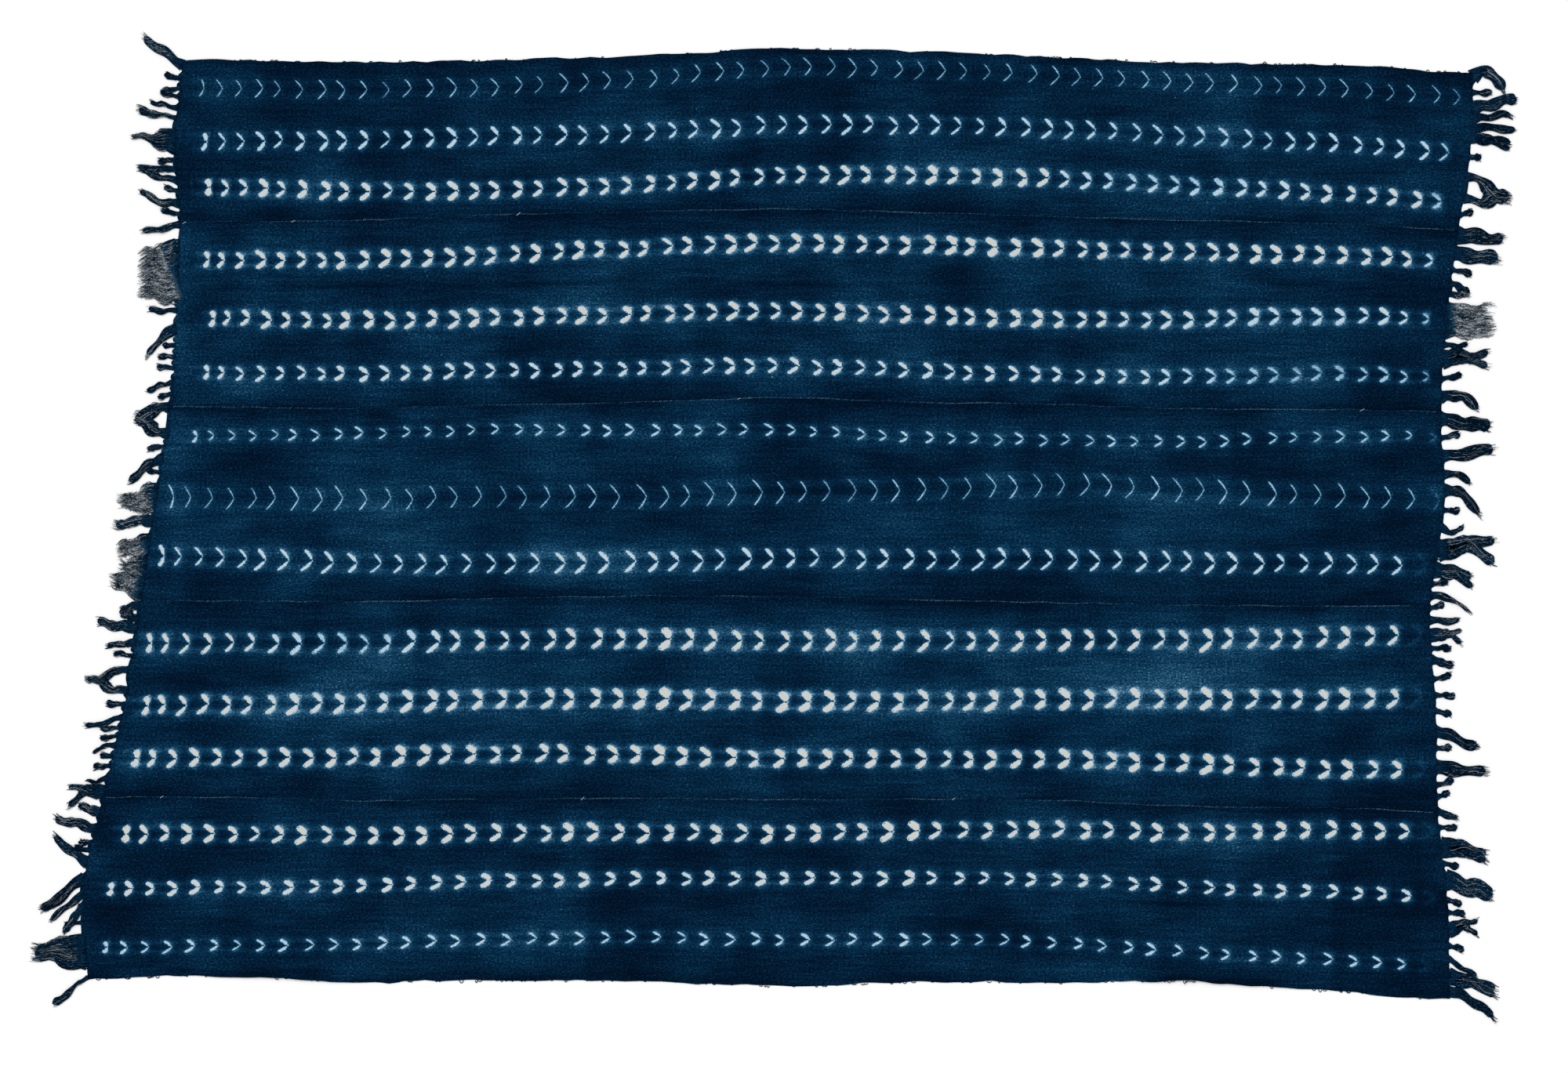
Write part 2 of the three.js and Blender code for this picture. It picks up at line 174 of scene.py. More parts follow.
# Paler and darker clouds of dye.
DYE_CLOUDS = table(
    Place,
    (515, -165, 150, 52, 0.15),
    (250, -185, 190, 36, 0.09),
    (87, -137, 60, 50, 0.1),
    (-250, -180, 140, 46, 0.09),
    (-480, -205, 110, 60, 0.11),
    (515, 291, 80, 66, 0.11),
    (534, 480, 56, 80, 0.09),
    (250, 425, 180, 32, 0.07),
    (125, 244, 60, 42, 0.11),
    (-230, 262, 160, 44, 0.07),
    (-61, 80, 42, 80, 0.09),
    (-480, -20, 66, 54, 0.09),
    (-210, -35, 130, 26, 0.07),
    (455, 10, 70, 66, 0.08),
    (-310, -488, 96, 48, 0.09),
    (455, -390, 110, 44, 0.06),
    (-704, 200, 16, 300, 0.07),
    (-100, 532, 560, 32, -0.05),
    (-500, 436, 160, 22, -0.05),
    (69, 455, 56, 64, -0.09),
    (13, 86, 46, 36, -0.11),
    (285, -78, 90, 26, -0.1),
    (740, 60, 66, 190, -0.07),
    (745, -420, 80, 110, -0.12),
    (-735, -416, 66, 76, -0.1),
    (-670, 490, 70, 52, -0.07),
    (745, 510, 74, 56, -0.08),
    (-120, -416, 80, 54, -0.06),
    (240, -470, 70, 44, -0.07),
    (-489, -452, 56, 28, -0.07),
)

# Upright fold lines: the dye is darker just to the right of each.
FoldLine = namedtuple("FoldLine", "x low high change")
FOLD_LINES = table(
    FoldLine,
    (663, -570, -330, 0.07),
    (-219, -545, -360, 0.06),
    (580, 465, 560, 0.06),
    (-655, -560, -350, 0.04),
)
FOLD_FADE = 70
FOLD_SOFT_END = 30

# Noises of the cloth and the yarn: turns in a millimetre along x and y, octaves, and share of the tone.
Noise = namedtuple("Noise", "x_scale y_scale detail share", defaults=(None,))
CLOUDS = Noise(0.008, 0.020, 4.0, 0.60)
BANDS = Noise(0.016, 0.003, 2.0, 0.20)
STREAKS = Noise(0.016, 0.26, 3.0, 0.30)
GRAIN = Noise(0.36, 0.55, 2.0, 0.88)
THREADS = Noise(0.70, 1.25, 1.0, 0.66)
LINT = Noise(0.42, 0.50, 1.0, 0.30)
FRAYED_EDGE = Noise(0.50, 0.50, 2.0)
HAZE_PATCHES = Noise(0.035, 0.11, 3.0)
MARK_SWELL = Noise(0.29, 0.0, 1.0)
YARN_FIBRE = Noise(0.60, 0.60, 2.0)
YARN_FLECKS = Noise(0.20, 0.85, 2.0, 0.75)
THREADS_IN_MARKS = 0.30

# Spacing of the woven threads and the height of their bump.
WARP_SPACING = 0.62
WEFT_SPACING = 0.75
WEAVE_HEIGHT = 0.35
WEAVE_STRENGTH = 0.55
YARN_HEIGHT = 0.4
YARN_STRENGTH = 0.6
COTTON_ROUGHNESS = 0.95

# Soft creases along the rows, with the height of the ridge.
Crease = namedtuple("Crease", "first last y_first y_last height")
CREASES = table(
    Crease,
    (-690, -60, 289, 296, 0.8),
    (-60, 150, 296, 290, 0.6),
    (571, 712, 294, 290, 0.9),
    (-640, -520, -523, -521, 1.4),
    (420, 610, -530, -536, 1.5),
    (-200, 130, 52, 48, 0.6),
    (-380, 60, -210, -214, 0.5),
    (380, 660, -440, -446, 0.7),
)
CREASE_WIDTH = 4.5
CREASE_WAVER = 2

# Heights of the other relief: puckers at the marks, ridges at seams and edges, and a slight ripple.
PUCKER = 0.45
SEAM_RIDGE = 1.0
EDGE_RIDGE = 0.5
RIDGE_WIDTH = 3.5
RIPPLE = 0.25

# Tassels from top to bottom: root along the edge, reach, drift of the tip, width at the root and at
# the tip, turns of twist and share of pale strands. Some also have a bow of the middle, a drop to a
# second tip, or a hole, which makes a loop.
Tassel = namedtuple("Tassel", "at reach drift root tip turns pale bow fork gap", defaults=(0, 0, 0))
LEFT_TASSELS = table(
    Tassel,
    (549, 45, 34, 11, 11, 0.4, 0.45),
    (498, 32, 8, 5, 6, 1.2, 0.05),
    (486, 46, 10, 4, 10, 0.8, 0.3),
    (459, 49, 6, 28, 6, 0.2, 0.3),
    (419, 45, 7, 19, 9, 0.4, 0.35, 0, 0, 6),
    (385, 46, 14, 9, 8, 0.7, 0.4, -4),
    (360, 46, -10, 8, 7, 1.6, 0.35),
    (306, 47, -8, 74, 58, 0.0, 0.6),
    (258, 33, 0, 5, 8, 1.4, 0.1),
    (236, 35, -36, 12, 7, 0.5, 0.35, 5),
    (173, 30, -10, 5, 7, 1.2, 0.1),
    (127, 40, 3, 42, 16, 0.0, 0.45, 0, 0, 20),
    (82, 40, -29, 11, 9, 0.5, 0.3, 4),
    (36, 44, -7, 36, 18, 0.2, 0.5),
    (8, 45, -3, 13, 11, 0.4, 0.45),
    (-18, 38, -10, 24, 18, 0.3, 0.5),
    (-44, 32, -3, 24, 18, 0.1, 0.5),
    (-73, 38, 12, 30, 17, 0.2, 0.5),
    (-100, 22, 0, 22, 14, 0.3, 0.4, 0, 0, 6),
    (-120, 46, 8, 13, 11, 0.5, 0.35),
    (-136, 33, -5, 8, 7, 0.8, 0.25),
    (-181, 49, 0, 32, 8, 0.3, 0.35, 0, 0, 16),
    (-225, 42, -12, 6, 6, 1.4, 0.15),
    (-259, 26, -9, 5, 4, 1.2, 0.1, 4),
    (-295, 25, -5, 5, 4, 1.2, 0.1, -4),
    (-314, 43, 6, 14, 8, 0.4, 0.35, 0, 24),
    (-338, 24, 8, 11, 9, 0.5, 0.3),
    (-358, 47, 14, 12, 10, 0.4, 0.45),
    (-398, 39, 33, 11, 10, 0.6, 0.35),
    (-416, 51, -40, 12, 12, 0.6, 0.25),
    (-435, 38, -32, 8, 7, 0.9, 0.25),
    (-450, 22, -32, 9, 8, 0.6, 0.3),
    (-503, 61, 0, 42, 22, 0.2, 0.4),
    (-534, 40, -33, 4, 9, 0.8, 0.3),
)
RIGHT_TASSELS = table(
    Tassel,
    (535, 37, -20, 12, 11, 0.4, 0.15, 15),
    (498, 52, 12, 12, 11, 0.5, 0.2),
    (484, 47, 4, 8, 7, 0.9, 0.15, 3),
    (474, 51, 0, 8, 8, 0.9, 0.15),
    (463, 47, -5, 9, 6, 0.7, 0.15, 0, 9),
    (404, 53, -15, 34, 14, 0.2, 0.4, 0, 0, 18),
    (347, 54, -5, 17, 12, 0.3, 0.3),
    (326, 52, -8, 15, 14, 0.3, 0.35),
    (284, 22, -6, 18, 10, 0.3, 0.25, 0, 0, 7),
    (246, 56, 0, 42, 38, 0.1, 0.5),
    (217, 27, -1, 5, 5, 1.2, 0.1),
    (200, 53, 7, 15, 8, 0.4, 0.3, 0, 17),
    (155, 43, -14, 11, 10, 0.4, 0.3, 8),
    (129, 58, -10, 14, 14, 0.5, 0.3),
    (85, 60, 8, 12, 13, 0.5, 0.3),
    (63, 30, -11, 7, 7, 1.0, 0.15, 5),
    (44, 42, -32, 11, 9, 0.5, 0.3, 10),
    (0, 24, 4, 6, 5, 1.0, 0.1, -8),
    (-27, 66, 14, 18, 12, 0.3, 0.45, 0, 28),
    (-50, 44, -6, 14, 9, 0.4, 0.3, 0, 14),
    (-81, 46, -23, 8, 4, 1.0, 0.2, 8),
    (-110, 35, 0, 7, 7, 1.0, 0.2),
    (-128, 36, 5, 11, 6, 0.5, 0.25, 0, 13),
    (-157, 24, -7, 8, 8, 0.8, 0.2),
    (-242, 49, -19, 11, 10, 0.6, 0.25),
    (-284, 60, -7, 15, 10, 0.4, 0.3),
    (-337, 23, -9, 7, 7, 0.9, 0.15),
    (-380, 54, -4, 17, 9, 0.4, 0.35, 0, 16),
    (-418, 55, -18, 18, 18, 0.3, 0.4),
    (-478, 34, 14, 12, 6, 0.5, 0.25, 0, 22),
    (-512, 32, -20, 5, 5, 1.2, 0.15, -2),
    (-533, 56, -14, 13, 8, 0.5, 0.3, 0, 12),
    (-551, 53, -34, 10, 9, 0.5, 0.25, 6),
)

# Short knotted ends that fill the gaps between the tassels.
STUB_PITCH = {"left": 14, "right": 19}
STUB_REACH = 13
STUB_REACH_SPREAD = 9
STUB_REACH_WAVE = 1.7
STUB_DRIFT = 5
STUB_DRIFT_WAVE = 0.9
STUB_ROOT = 4.0
STUB_TIP = 7.6
STUB_TURNS = 0.9
STUB_PALE = 0.10

# Course of a tassel: how far the cloth runs out into its root, how much it sways and swells, where
# it forks, and where the two legs of a looped one come together.
SCALLOP = 3.6
SCALLOP_MARGIN = 1.4
ROOT_FLARE = 1.4
SWAY_SHARE = 0.05
MOST_SWAY = 2.4
LUMP_SHARE = 0.13
MOST_LUMP = 1.0
FORK_START = 0.5
LEGS_JOIN = (0.3, 0.75)

# Yarn of the fringe: matted cores, strands over them and thin fibres. Tints run from dark to pale.
CORE_HEIGHT = 1.7
CORE_ROOT_HEIGHT = 0.7
CORE_FULLNESS = {"left": 1.02, "right": 1.18}
CORE_TINTS = (0.02, 0.16)
CORE_STEPS = 22
CORE_SIDES = 10
LOOSE_CORE_FULLNESS = 0.96
LOOSE_CORE_TINT = 0.84
STRAND_RADII = (0.45, 0.80)
STRAND_STEPS = 16
STRAND_SIDES = 4
STRAND_FRAY = 0.3
TWISTED_TOGETHER = 5
LOCK_WIDTH = 8
LOCK_SWAY = 0.6
FIBRE_RADII = (0.28, 0.46)
FIBRE_STEPS = 9
FIBRE_SIDES = 3
LOOSE_FIBRES_PALE = 0.40
LOWEST_YARN = 0.02
ROOT_INSET = 1.6
DYED_ROOT = 0.24
DYED_STRETCH = 9
DARK_TINTS = (0.0, 0.40)
PALE_TOP = 0.36
FRAY = 0.60

# A wide, pale tassel is a loose tuft, and any other is twisted. Shares are of the reach, lengths that
# keep their dye are in millimetres, and strands and fibres are counted for each millimetre of width.
LOOSE_TIP = 16
LOOSE_PALE = 0.5
YarnKind = namedtuple(
    "YarnKind",
    "core_share core_dyed strands strand_share strand_dyed "
    "fibres fibre_first fibre_share fibre_curl fibre_turns",
)
LOOSE, TWISTED = table(
    YarnKind,
    ((0.7, 0.8), 14, 0.8, (0.72, 1.05), (0, 9), 4.0, (0.04, 0.8), (0.12, 0.28), (0.5, 1.3), (0.8, 1.6)),
    ((0.92, 0.98), 12, 1.0, (0.88, 1.05), (0, 4), 1.0, (0.1, 0.65), (0.2, 0.5), (0.3, 1.0), (0.6, 1.8)),
)

# Overcast stitches of the seams, a few of them loose and pale.
STITCH_PITCH = 2.7
STITCH_MARGIN = 6
STITCH_REACH = (0.8, 1.4)
STITCH_SLANT = (0.3, 0.9)
STITCH_RADIUS = 0.38
STITCH_LIFT = 1.35
STITCH_SINK = 0.7
STITCH_SIDES = 4
STITCH_SHADE = 0.48
BRIGHTEST_STITCH = 0.74
LOOSE_STITCHES = 0.005
LOOSE_STRETCH = 2.2

# Weft loops along the two long edges, a few of them longer.
LOOP_COUNT = 120
LOOP_MARGIN = 10
LOOP_REACH = (0.5, 1.9)
LOOP_SPAN = (2.0, 6.0)
LOOP_RADIUS = 0.5
LOOP_SIDES = 5
LOOP_SHADES = (0.05, 0.3)
LONG_LOOPS = 0.12
LONG_LOOP_STRETCH = 1.8

# Surface layout: start and width of a sheet's face and back, the rim's place, and a strand's margin.
LAYOUT_LENGTHS = 3
FACE_LAYOUT = (0.005, 0.69)
BACK_LAYOUT = (0.705, 0.25)
RIM_LAYOUT = (0.965, 0.99)
STRAND_MARGIN = 0.05

# Studio, in metres: a pale floor, even light from all round, one soft sun and a camera straight above.
FLOOR_HALF = 20
FLOOR_DROP = 0.0002
FLOOR_COLOUR = (0.93, 0.93, 0.925, 1)
FLOOR_ROUGHNESS = 0.9
SKY_STRENGTH = 0.55
SUN_STRENGTH = 1.9
SUN_SPREAD = 40
SUN_TILT = (-17, -15)
LENS = 85
SENSOR = 36
VIEW_WIDTH = 1.86
VIEW_CENTRE = (0.0130, -0.0105)
VIEW_HEIGHT = 0.003
FAR_CLIP = 50

# Colours from the darkest dye to bare cotton, from dark to frayed yarn, and of the sewing thread.
INDIGO = (
    (0.0, (0.0005, 0.0042, 0.013)),
    (0.12, (0.0009, 0.0085, 0.025)),
    (0.24, (0.0015, 0.0165, 0.045)),
    (0.36, (0.0026, 0.03, 0.073)),
    (0.5, (0.0085, 0.063, 0.133)),
    (0.66, (0.05, 0.15, 0.248)),
    (0.82, (0.275, 0.482, 0.635)),
    (0.9, (0.445, 0.605, 0.72)),
    (0.94, (0.535, 0.615, 0.66)),
    (1.0, (0.61, 0.572, 0.505)),
)
YARN = (
    (0.0, (0.0008, 0.0028, 0.006)),
    (0.25, (0.0015, 0.014, 0.037)),
    (0.42, (0.005, 0.035, 0.076)),
    (0.6, (0.02, 0.046, 0.07)),
    (0.8, (0.085, 0.124, 0.154)),
    (1.0, (0.38, 0.395, 0.41)),
)
STITCH = (
    (0.0, (0.0012, 0.01, 0.029)),
    (0.4, (0.008, 0.06, 0.13)),
    (0.75, (0.07, 0.17, 0.27)),
    (1.0, (0.4, 0.48, 0.56)),
)


def smooth(values, place):
    """Smooth curve through evenly spaced values; place runs from 0 to the last index."""
    values = np.asarray(values, float)
    last = len(values) - 1
    i = np.clip(np.floor(place).astype(int), 0, last - 1)
    f = place - i
    a = values[np.maximum(i - 1, 0)]
    b = values[i]
    c = values[i + 1]
    d = values[np.minimum(i + 2, last)]
    return b + 0.5 * f * (c - a + f * (2 * a - 5 * b + 4 * c - d + f * (3 * (b - c) + d - a)))


def ease(low, high, value):
    """Soft step from 0 at low to 1 at high."""
    f = np.clip((value - low) / (high - low), 0, 1)
    return f * f * (3 - 2 * f)


def wander(x, step, seed):
    """Smooth random curve between -1 and 1 that turns about once in every step."""
    count = WANDER_LENGTH // max(int(step), 1) + 8
    knots = np.random.default_rng(seed).uniform(-1, 1, count)
    return smooth(knots, np.clip((np.asarray(x, float) - WANDER_START) / step, 0, len(knots) - 1.001))


def line_height(line, x):
    """Height of a long line, counted from the top edge, at x."""
    return smooth(LONG_LINES[line], (x - FIRST_STATION) / STATION_STEP)


def end_point(side, across):
    """Point on an end of the cloth; across counts strips from the top edge."""
    across = np.asarray(across, float)
    x = smooth(CLOTH_ENDS[side], 2 * across)
    lines = np.array([line_height(i, x) for i in range(STRIPS + 1)])
    strip = np.clip(np.floor(across).astype(int), 0, STRIPS - 1)
    upper = np.take_along_axis(lines, strip[None], 0)[0]
    lower = np.take_along_axis(lines, strip[None] + 1, 0)[0]
    return x, upper + (lower - upper) * (across - strip)


def end_at_height(side, y):
    """Where an end of the cloth stands at height y."""
    across = np.linspace(0, STRIPS, 501)
    x, heights = end_point(side, across)
    return np.interp(y, heights[::-1], x[::-1])


def hump(value, width):
    """1 where value is 0, falling off softly over width."""
    return np.exp(-((value / width) ** 2))


def square_off(place, x, y):
    """Squared distance from the middle of a place, counted in its half length and half width."""
    return ((x - place.x) / place.half_length) ** 2 + ((y - place.y) / place.half_width) ** 2


def rise(x, y):
    """Height of the swells over the surface."""
    height = np.zeros_like(x)
    for swell in SWELLS:
        height += swell.amount * np.maximum(1 - square_off(swell, x, y), 0) ** 2
    return height


def sum_of_places(places, x, y):
    """Sum of the soft round changes that the places make."""
    total = np.zeros_like(x)
    for place in places:
        total += place.amount * np.exp(-square_off(place, x, y))
    return total


def scallop(side, y):
    """How far the cloth runs out into the roots of its tassels."""
    tassels = LEFT_TASSELS if side == "left" else RIGHT_TASSELS
    reach = np.zeros_like(y)
    for tassel in (*tassels, *stub_rows(side, tassels)):
        near = np.exp(-(((y - tassel.at) / (tassel.root / 2 + SCALLOP_MARGIN)) ** 4))
        reach = np.maximum(reach, SCALLOP * near)
    return reach


def crease_shape(crease, x, y):
    """Distance over a crease's line, and its strength, which fades out at both ends."""
    place = (x - crease.first) / (crease.last - crease.first)
    strength = np.clip(np.minimum(place, 1 - place) * 6, 0, 1)
    middle = crease.y_first + (crease.y_last - crease.y_first) * place
    return y - middle - CREASE_WAVER * wander(x, 90, 5), strength


def add_object(name, data):
    """Object of a mesh, a light or a camera, linked to the scene."""
    item = bpy.data.objects.new(name, data)
    bpy.context.collection.objects.link(item)
    return item


def new_piece(name, verts, faces, material, attributes, uvs):
    """Mesh object from arrays, with named attributes and its own layout of the surface."""
    mesh = bpy.data.meshes.new(name)
    mesh.from_pydata(verts * MM, [], faces)
    for key, values in attributes.items():
        if values.ndim == 1:
            mesh.attributes.new(key, "FLOAT", "POINT").data.foreach_set("value", values.astype(np.float32))
        else:
            flat = values.astype(np.float32).ravel()
            mesh.attributes.new(key, "FLOAT_VECTOR", "POINT").data.foreach_set("vector", flat)
    mesh.uv_layers.new(name="OFBake").data.foreach_set("uv", uvs.astype(np.float32).ravel())
    mesh.materials.append(material)
    mesh.shade_smooth()
    piece = add_object(name, mesh)
    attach(piece, "root")
    return piece


class Value:
    """Number in a material's node tree that can be written as ordinary arithmetic."""

    def __init__(self, tree, socket):
        self.tree = tree
        self.socket = socket

    def math(self, operation, *others):
        return math_node(self.tree, operation, self, *others)

    def __add__(self, other):
        return self.math("ADD", other)

    def __sub__(self, other):
        return self.math("SUBTRACT", other)

    def __rsub__(self, other):
        return math_node(self.tree, "SUBTRACT", other, self)

    def __mul__(self, other):
        return self.math("MULTIPLY", other)

    def __truediv__(self, other):
        return self.math("DIVIDE", other)

    def __abs__(self):
        return self.math("ABSOLUTE")


def feed(tree, socket, value):
    """Links a value of the tree to a socket, or sets a plain number on it."""
    if isinstance(value, Value):
        tree.links.new(value.socket, socket)
    else:
        socket.default_value = value


def math_node(tree, operation, *values):
    """Result of one operation on values of the tree or plain numbers."""
    node = tree.nodes.new("ShaderNodeMath")
    node.operation = operation
    for socket, value in zip(node.inputs, values):
        feed(tree, socket, value)
    return Value(tree, node.outputs[0])


def step_between(value, low, high):
    """Soft step from 0 at low to 1 at high, in a node tree."""
    node = value.tree.nodes.new("ShaderNodeMapRange")
    node.interpolation_type = "SMOOTHSTEP"
    feed(value.tree, node.inputs["Value"], value)
    feed(value.tree, node.inputs["From Min"], low)
    feed(value.tree, node.inputs["From Max"], high)
    return Value(value.tree, node.outputs["Result"])


def bell(value, width):
    """A hump in a node tree."""
    ratio = value / width
    return (ratio * ratio * -1.0).math("EXPONENT")


def parts_of(tree, socket):
    """The three values of a vector socket."""
    node = tree.nodes.new("ShaderNodeSeparateXYZ")
    tree.links.new(socket, node.inputs[0])
    return [Value(tree, output) for output in node.outputs]


def vector_of(tree, *values):
    """Vector socket of three values."""
    node = tree.nodes.new("ShaderNodeCombineXYZ")
    for socket, value in zip(node.inputs, values):
        feed(tree, socket, value)
    return node.outputs[0]


def attribute(tree, name):
    """Node that reads an attribute of the mesh."""
    node = tree.nodes.new("ShaderNodeAttribute")
    node.attribute_name = name
    return node


def chance(tree, index, seed):
    """Three random numbers for each index."""
    node = tree.nodes.new("ShaderNodeTexWhiteNoise")
    node.noise_dimensions = "2D"
    tree.links.new(vector_of(tree, index, seed, 0.0), node.inputs["Vector"])
    return parts_of(tree, node.outputs["Color"])


def cloud(tree, x, y, noise, shift):
    """Noise about 0, within -0.5 and 0.5, cut at its own place."""
    node = tree.nodes.new("ShaderNodeTexNoise")
    node.noise_dimensions = "3D"
    node.inputs["Scale"].default_value = 1.0
    node.inputs["Detail"].default_value = noise.detail
    tree.links.new(vector_of(tree, x * noise.x_scale, y * noise.y_scale, shift), node.inputs["Vector"])
    return Value(tree, node.outputs[0]) - 0.5


def colours(value, stops):
    """Colour of a value along a list of stops."""
    node = value.tree.nodes.new("ShaderNodeValToRGB")
    ramp = node.color_ramp
    while len(ramp.elements) < len(stops):
        ramp.elements.new(0.5)
    for element, (place, colour) in zip(ramp.elements, stops):
        element.position = place
        element.color = (*colour, 1.0)
    feed(value.tree, node.inputs[0], value)
    return node.outputs[0]


def blank_material(name):
    """Matte material with its node tree, its shader and the x and y of the surface in millimetres."""
    material = bpy.data.materials.new(name)
    material.use_nodes = True
    tree = material.node_tree
    tree.nodes.clear()
    shader = tree.nodes.new("ShaderNodeBsdfPrincipled")
    output = tree.nodes.new("ShaderNodeOutputMaterial")
    tree.links.new(shader.outputs[0], output.inputs[0])
    shader.inputs["Roughness"].default_value = COTTON_ROUGHNESS
    shader.inputs["Specular IOR Level"].default_value = 0.0
    coordinates = tree.nodes.new("ShaderNodeTexCoord")
    x, y, _ = parts_of(tree, coordinates.outputs["Object"])
    return material, tree, shader, x * (1 / MM), y * (1 / MM)


def bump(tree, shader, height, distance, strength):
    """Bumps the shader's surface by height times a distance in millimetres."""
    node = tree.nodes.new("ShaderNodeBump")
    node.inputs["Strength"].default_value = strength
    node.inputs["Distance"].default_value = distance * MM
    feed(tree, node.inputs["Height"], height)
    tree.links.new(node.outputs[0], shader.inputs["Normal"])


def mark_row(tree, strip, row_number, frayed, patches):
    """Resist left by one row of stitched arrow marks, from 0 for full dye to 1 for bare cotton."""
    row = ROWS[row_number]
    last = MARKS_PER_STRIP[strip] - 1
    pitch = (row.last - row.first) / last
    u, v, ink = parts_of(tree, attribute(tree, f"row_{row_number % 3 + 1}").outputs["Vector"])
    index = (u + 0.5).math("FLOOR")
    shared = chance(tree, index, strip * 3.1 + 0.5)
    own = chance(tree, index, row_number * 1.7 + 40.5)
    swell = cloud(tree, index, index, MARK_SWELL, strip * 7.3)
    size = shared[0] * MARK_SIZE_CHANCE + swell * MARK_SIZE_SWELL + MARK_SIZE
    size = size * (1.0 - step_between(index, last - 2.6, last + 0.2) * (1.0 - row.final))
    upright = step_between(u, 1.3, 0.1)
    fat = shared[2] * MARK_FAT_COMMON + own[2] * MARK_FAT_OWN + upright * MARK_FAT_FIRST + MARK_FATNESS
    fat = size * fat * ink
    height = v - (own[0] - 0.5) * MARK_BOB
    side = abs(height)
    slip = (shared[1] - 0.5) * MARK_SLIP
    slant = (own[1] - 0.5) * MARK_SLANT + row.lean
    left = size * (row.reach * 0.5) + MARK_SHIFT - (u - index) * pitch + slip + height * slant
    left = left + side * upright * (FIRST_MARK_UPRIGHT * row.reach / row.half_height)
    length = math.hypot(row.half_height, row.reach)
    cos, sin = row.reach / length, row.half_height / length
    along = (left * cos + side * sin) / (size * length)
    across = left * sin - side * cos + along * (1.0 - along) * (ARM_BOW * length)
    leaf = (along - LEAF_MIDDLE) / LEAF_HALF
    leaf = leaf * leaf
    belly = (1.0 - leaf * leaf).math("MAXIMUM", 0.0).math("SQRT") * fat * (row.width * LEAF_WIDTH)
    neck = step_between(along, 0.85, 0.15) * min(WIDEST_NECK, row.width * NECK_WIDTH)
    over = ((along - 1.0).math("MAXIMUM", 0.0) + (along * -1.0).math("MAXIMUM", 0.0)) * length
    ragged = frayed * min(MOST_FRAYING, row.width * FRAYING)
    distance = abs(across) + over - belly.math("MAXIMUM", neck) + ragged
    core = step_between(distance, CORE_SOFTNESS, -CORE_SOFTNESS) * row.white
    if row_number in HOLED_ROWS:
        hole = ((along - HOLE_PLACE) * length).math("POWER", 2.0) + across * across
        core = core * (1.0 - step_between(hole, 1.0, 0.2) * step_between(own[2], 0.5, 0.55) * 0.9)
    fading = (distance.math("MAXIMUM", 0.0) * -GLOW_FADE).math("EXPONENT")
    glow = fading * row.halo * (frayed * 1.6 + 1.0)
    glow = glow * (1.0 - step_between(across, 0.0, 3.0) * 0.5)
    rails = bell(side - row.half_height * 0.8, row.half_height * 0.36) * (row.haze * 0.75)
    wide = bell(v, row.half_height * 1.7) * (row.haze * 0.5)
    haze = (rails + wide) * (patches * 3.0 + 0.9) * ink
    shadow = bell(v, row.half_height * 0.4) * (row.haze * 0.55) * (patches * 2.0 + 1.0)
    strength = ink.math("MINIMUM", 1.0)
    return (core * strength).math("MAXIMUM", glow + haze) * strength, shadow * strength


def cloth_material(strip):
    """Dyed plain weave of one strip, with its three rows of resist marks."""
    material, tree, shader, x, y = blank_material(f"indigo_cotton_{strip + 1}")
    frayed = cloud(tree, x, y, FRAYED_EDGE, 3.0)
    patches = cloud(tree, x, y, HAZE_PATCHES, 5.0)
    rows = [mark_row(tree, strip, 3 * strip + i, frayed, patches) for i in range(3)]
    resist = rows[0][0].math("MAXIMUM", rows[1][0]).math("MAXIMUM", rows[2][0])
    shadow = rows[0][1] + rows[1][1] + rows[2][1]
    dye = Value(tree, attribute(tree, "dye").outputs["Fac"])
    clouds = cloud(tree, x, y, CLOUDS, strip * 1.3)
    bands = cloud(tree, x, y, BANDS, 17.0 + strip)
    streaks = cloud(tree, x, y, STREAKS, 8.0)
    grain = cloud(tree, x, y, GRAIN, 4.0)
    threads = cloud(tree, x, y, THREADS, 12.0)
    tone = dye + clouds * CLOUDS.share + bands * BANDS.share + streaks * STREAKS.share
    tone = tone + grain * GRAIN.share + threads * THREADS.share - shadow
    lint = step_between(cloud(tree, x, y, LINT, 21.0), 0.20, 0.30) * LINT.share
    tone = tone.math("MAXIMUM", 0.0) + lint
    amount = resist + tone * (1.0 - resist) + (threads + grain) * resist * THREADS_IN_MARKS
    tree.links.new(colours(amount, INDIGO), shader.inputs["Base Color"])
    warp = (y * (math.pi / WARP_SPACING)).math("SINE")
    weft = (x * (math.pi / WEFT_SPACING)).math("SINE")
    height = warp * weft * 0.5 + threads * 1.6 + streaks * 0.8
    bump(tree, shader, height, WEAVE_HEIGHT, WEAVE_STRENGTH)
    return material


def yarn_material(name, stops, mottle):
    """Matte yarn whose tone comes from its strands, with mottling and pale flecks where it is frayed."""
    material, tree, shader, x, y = blank_material(name)
    shade = Value(tree, attribute(tree, "shade").outputs["Fac"])
    fray = Value(tree, attribute(tree, "fray").outputs["Fac"])
    fibre = cloud(tree, x, y, YARN_FIBRE, 2.0)
    flecks = step_between(cloud(tree, x, y, YARN_FLECKS, 6.0), 0.0, 0.20) * fray
    tone = shade + fibre * mottle + flecks * YARN_FLECKS.share
    tree.links.new(colours(tone, stops), shader.inputs["Base Color"])
    bump(tree, shader, fibre, YARN_HEIGHT, YARN_STRENGTH)
    return material


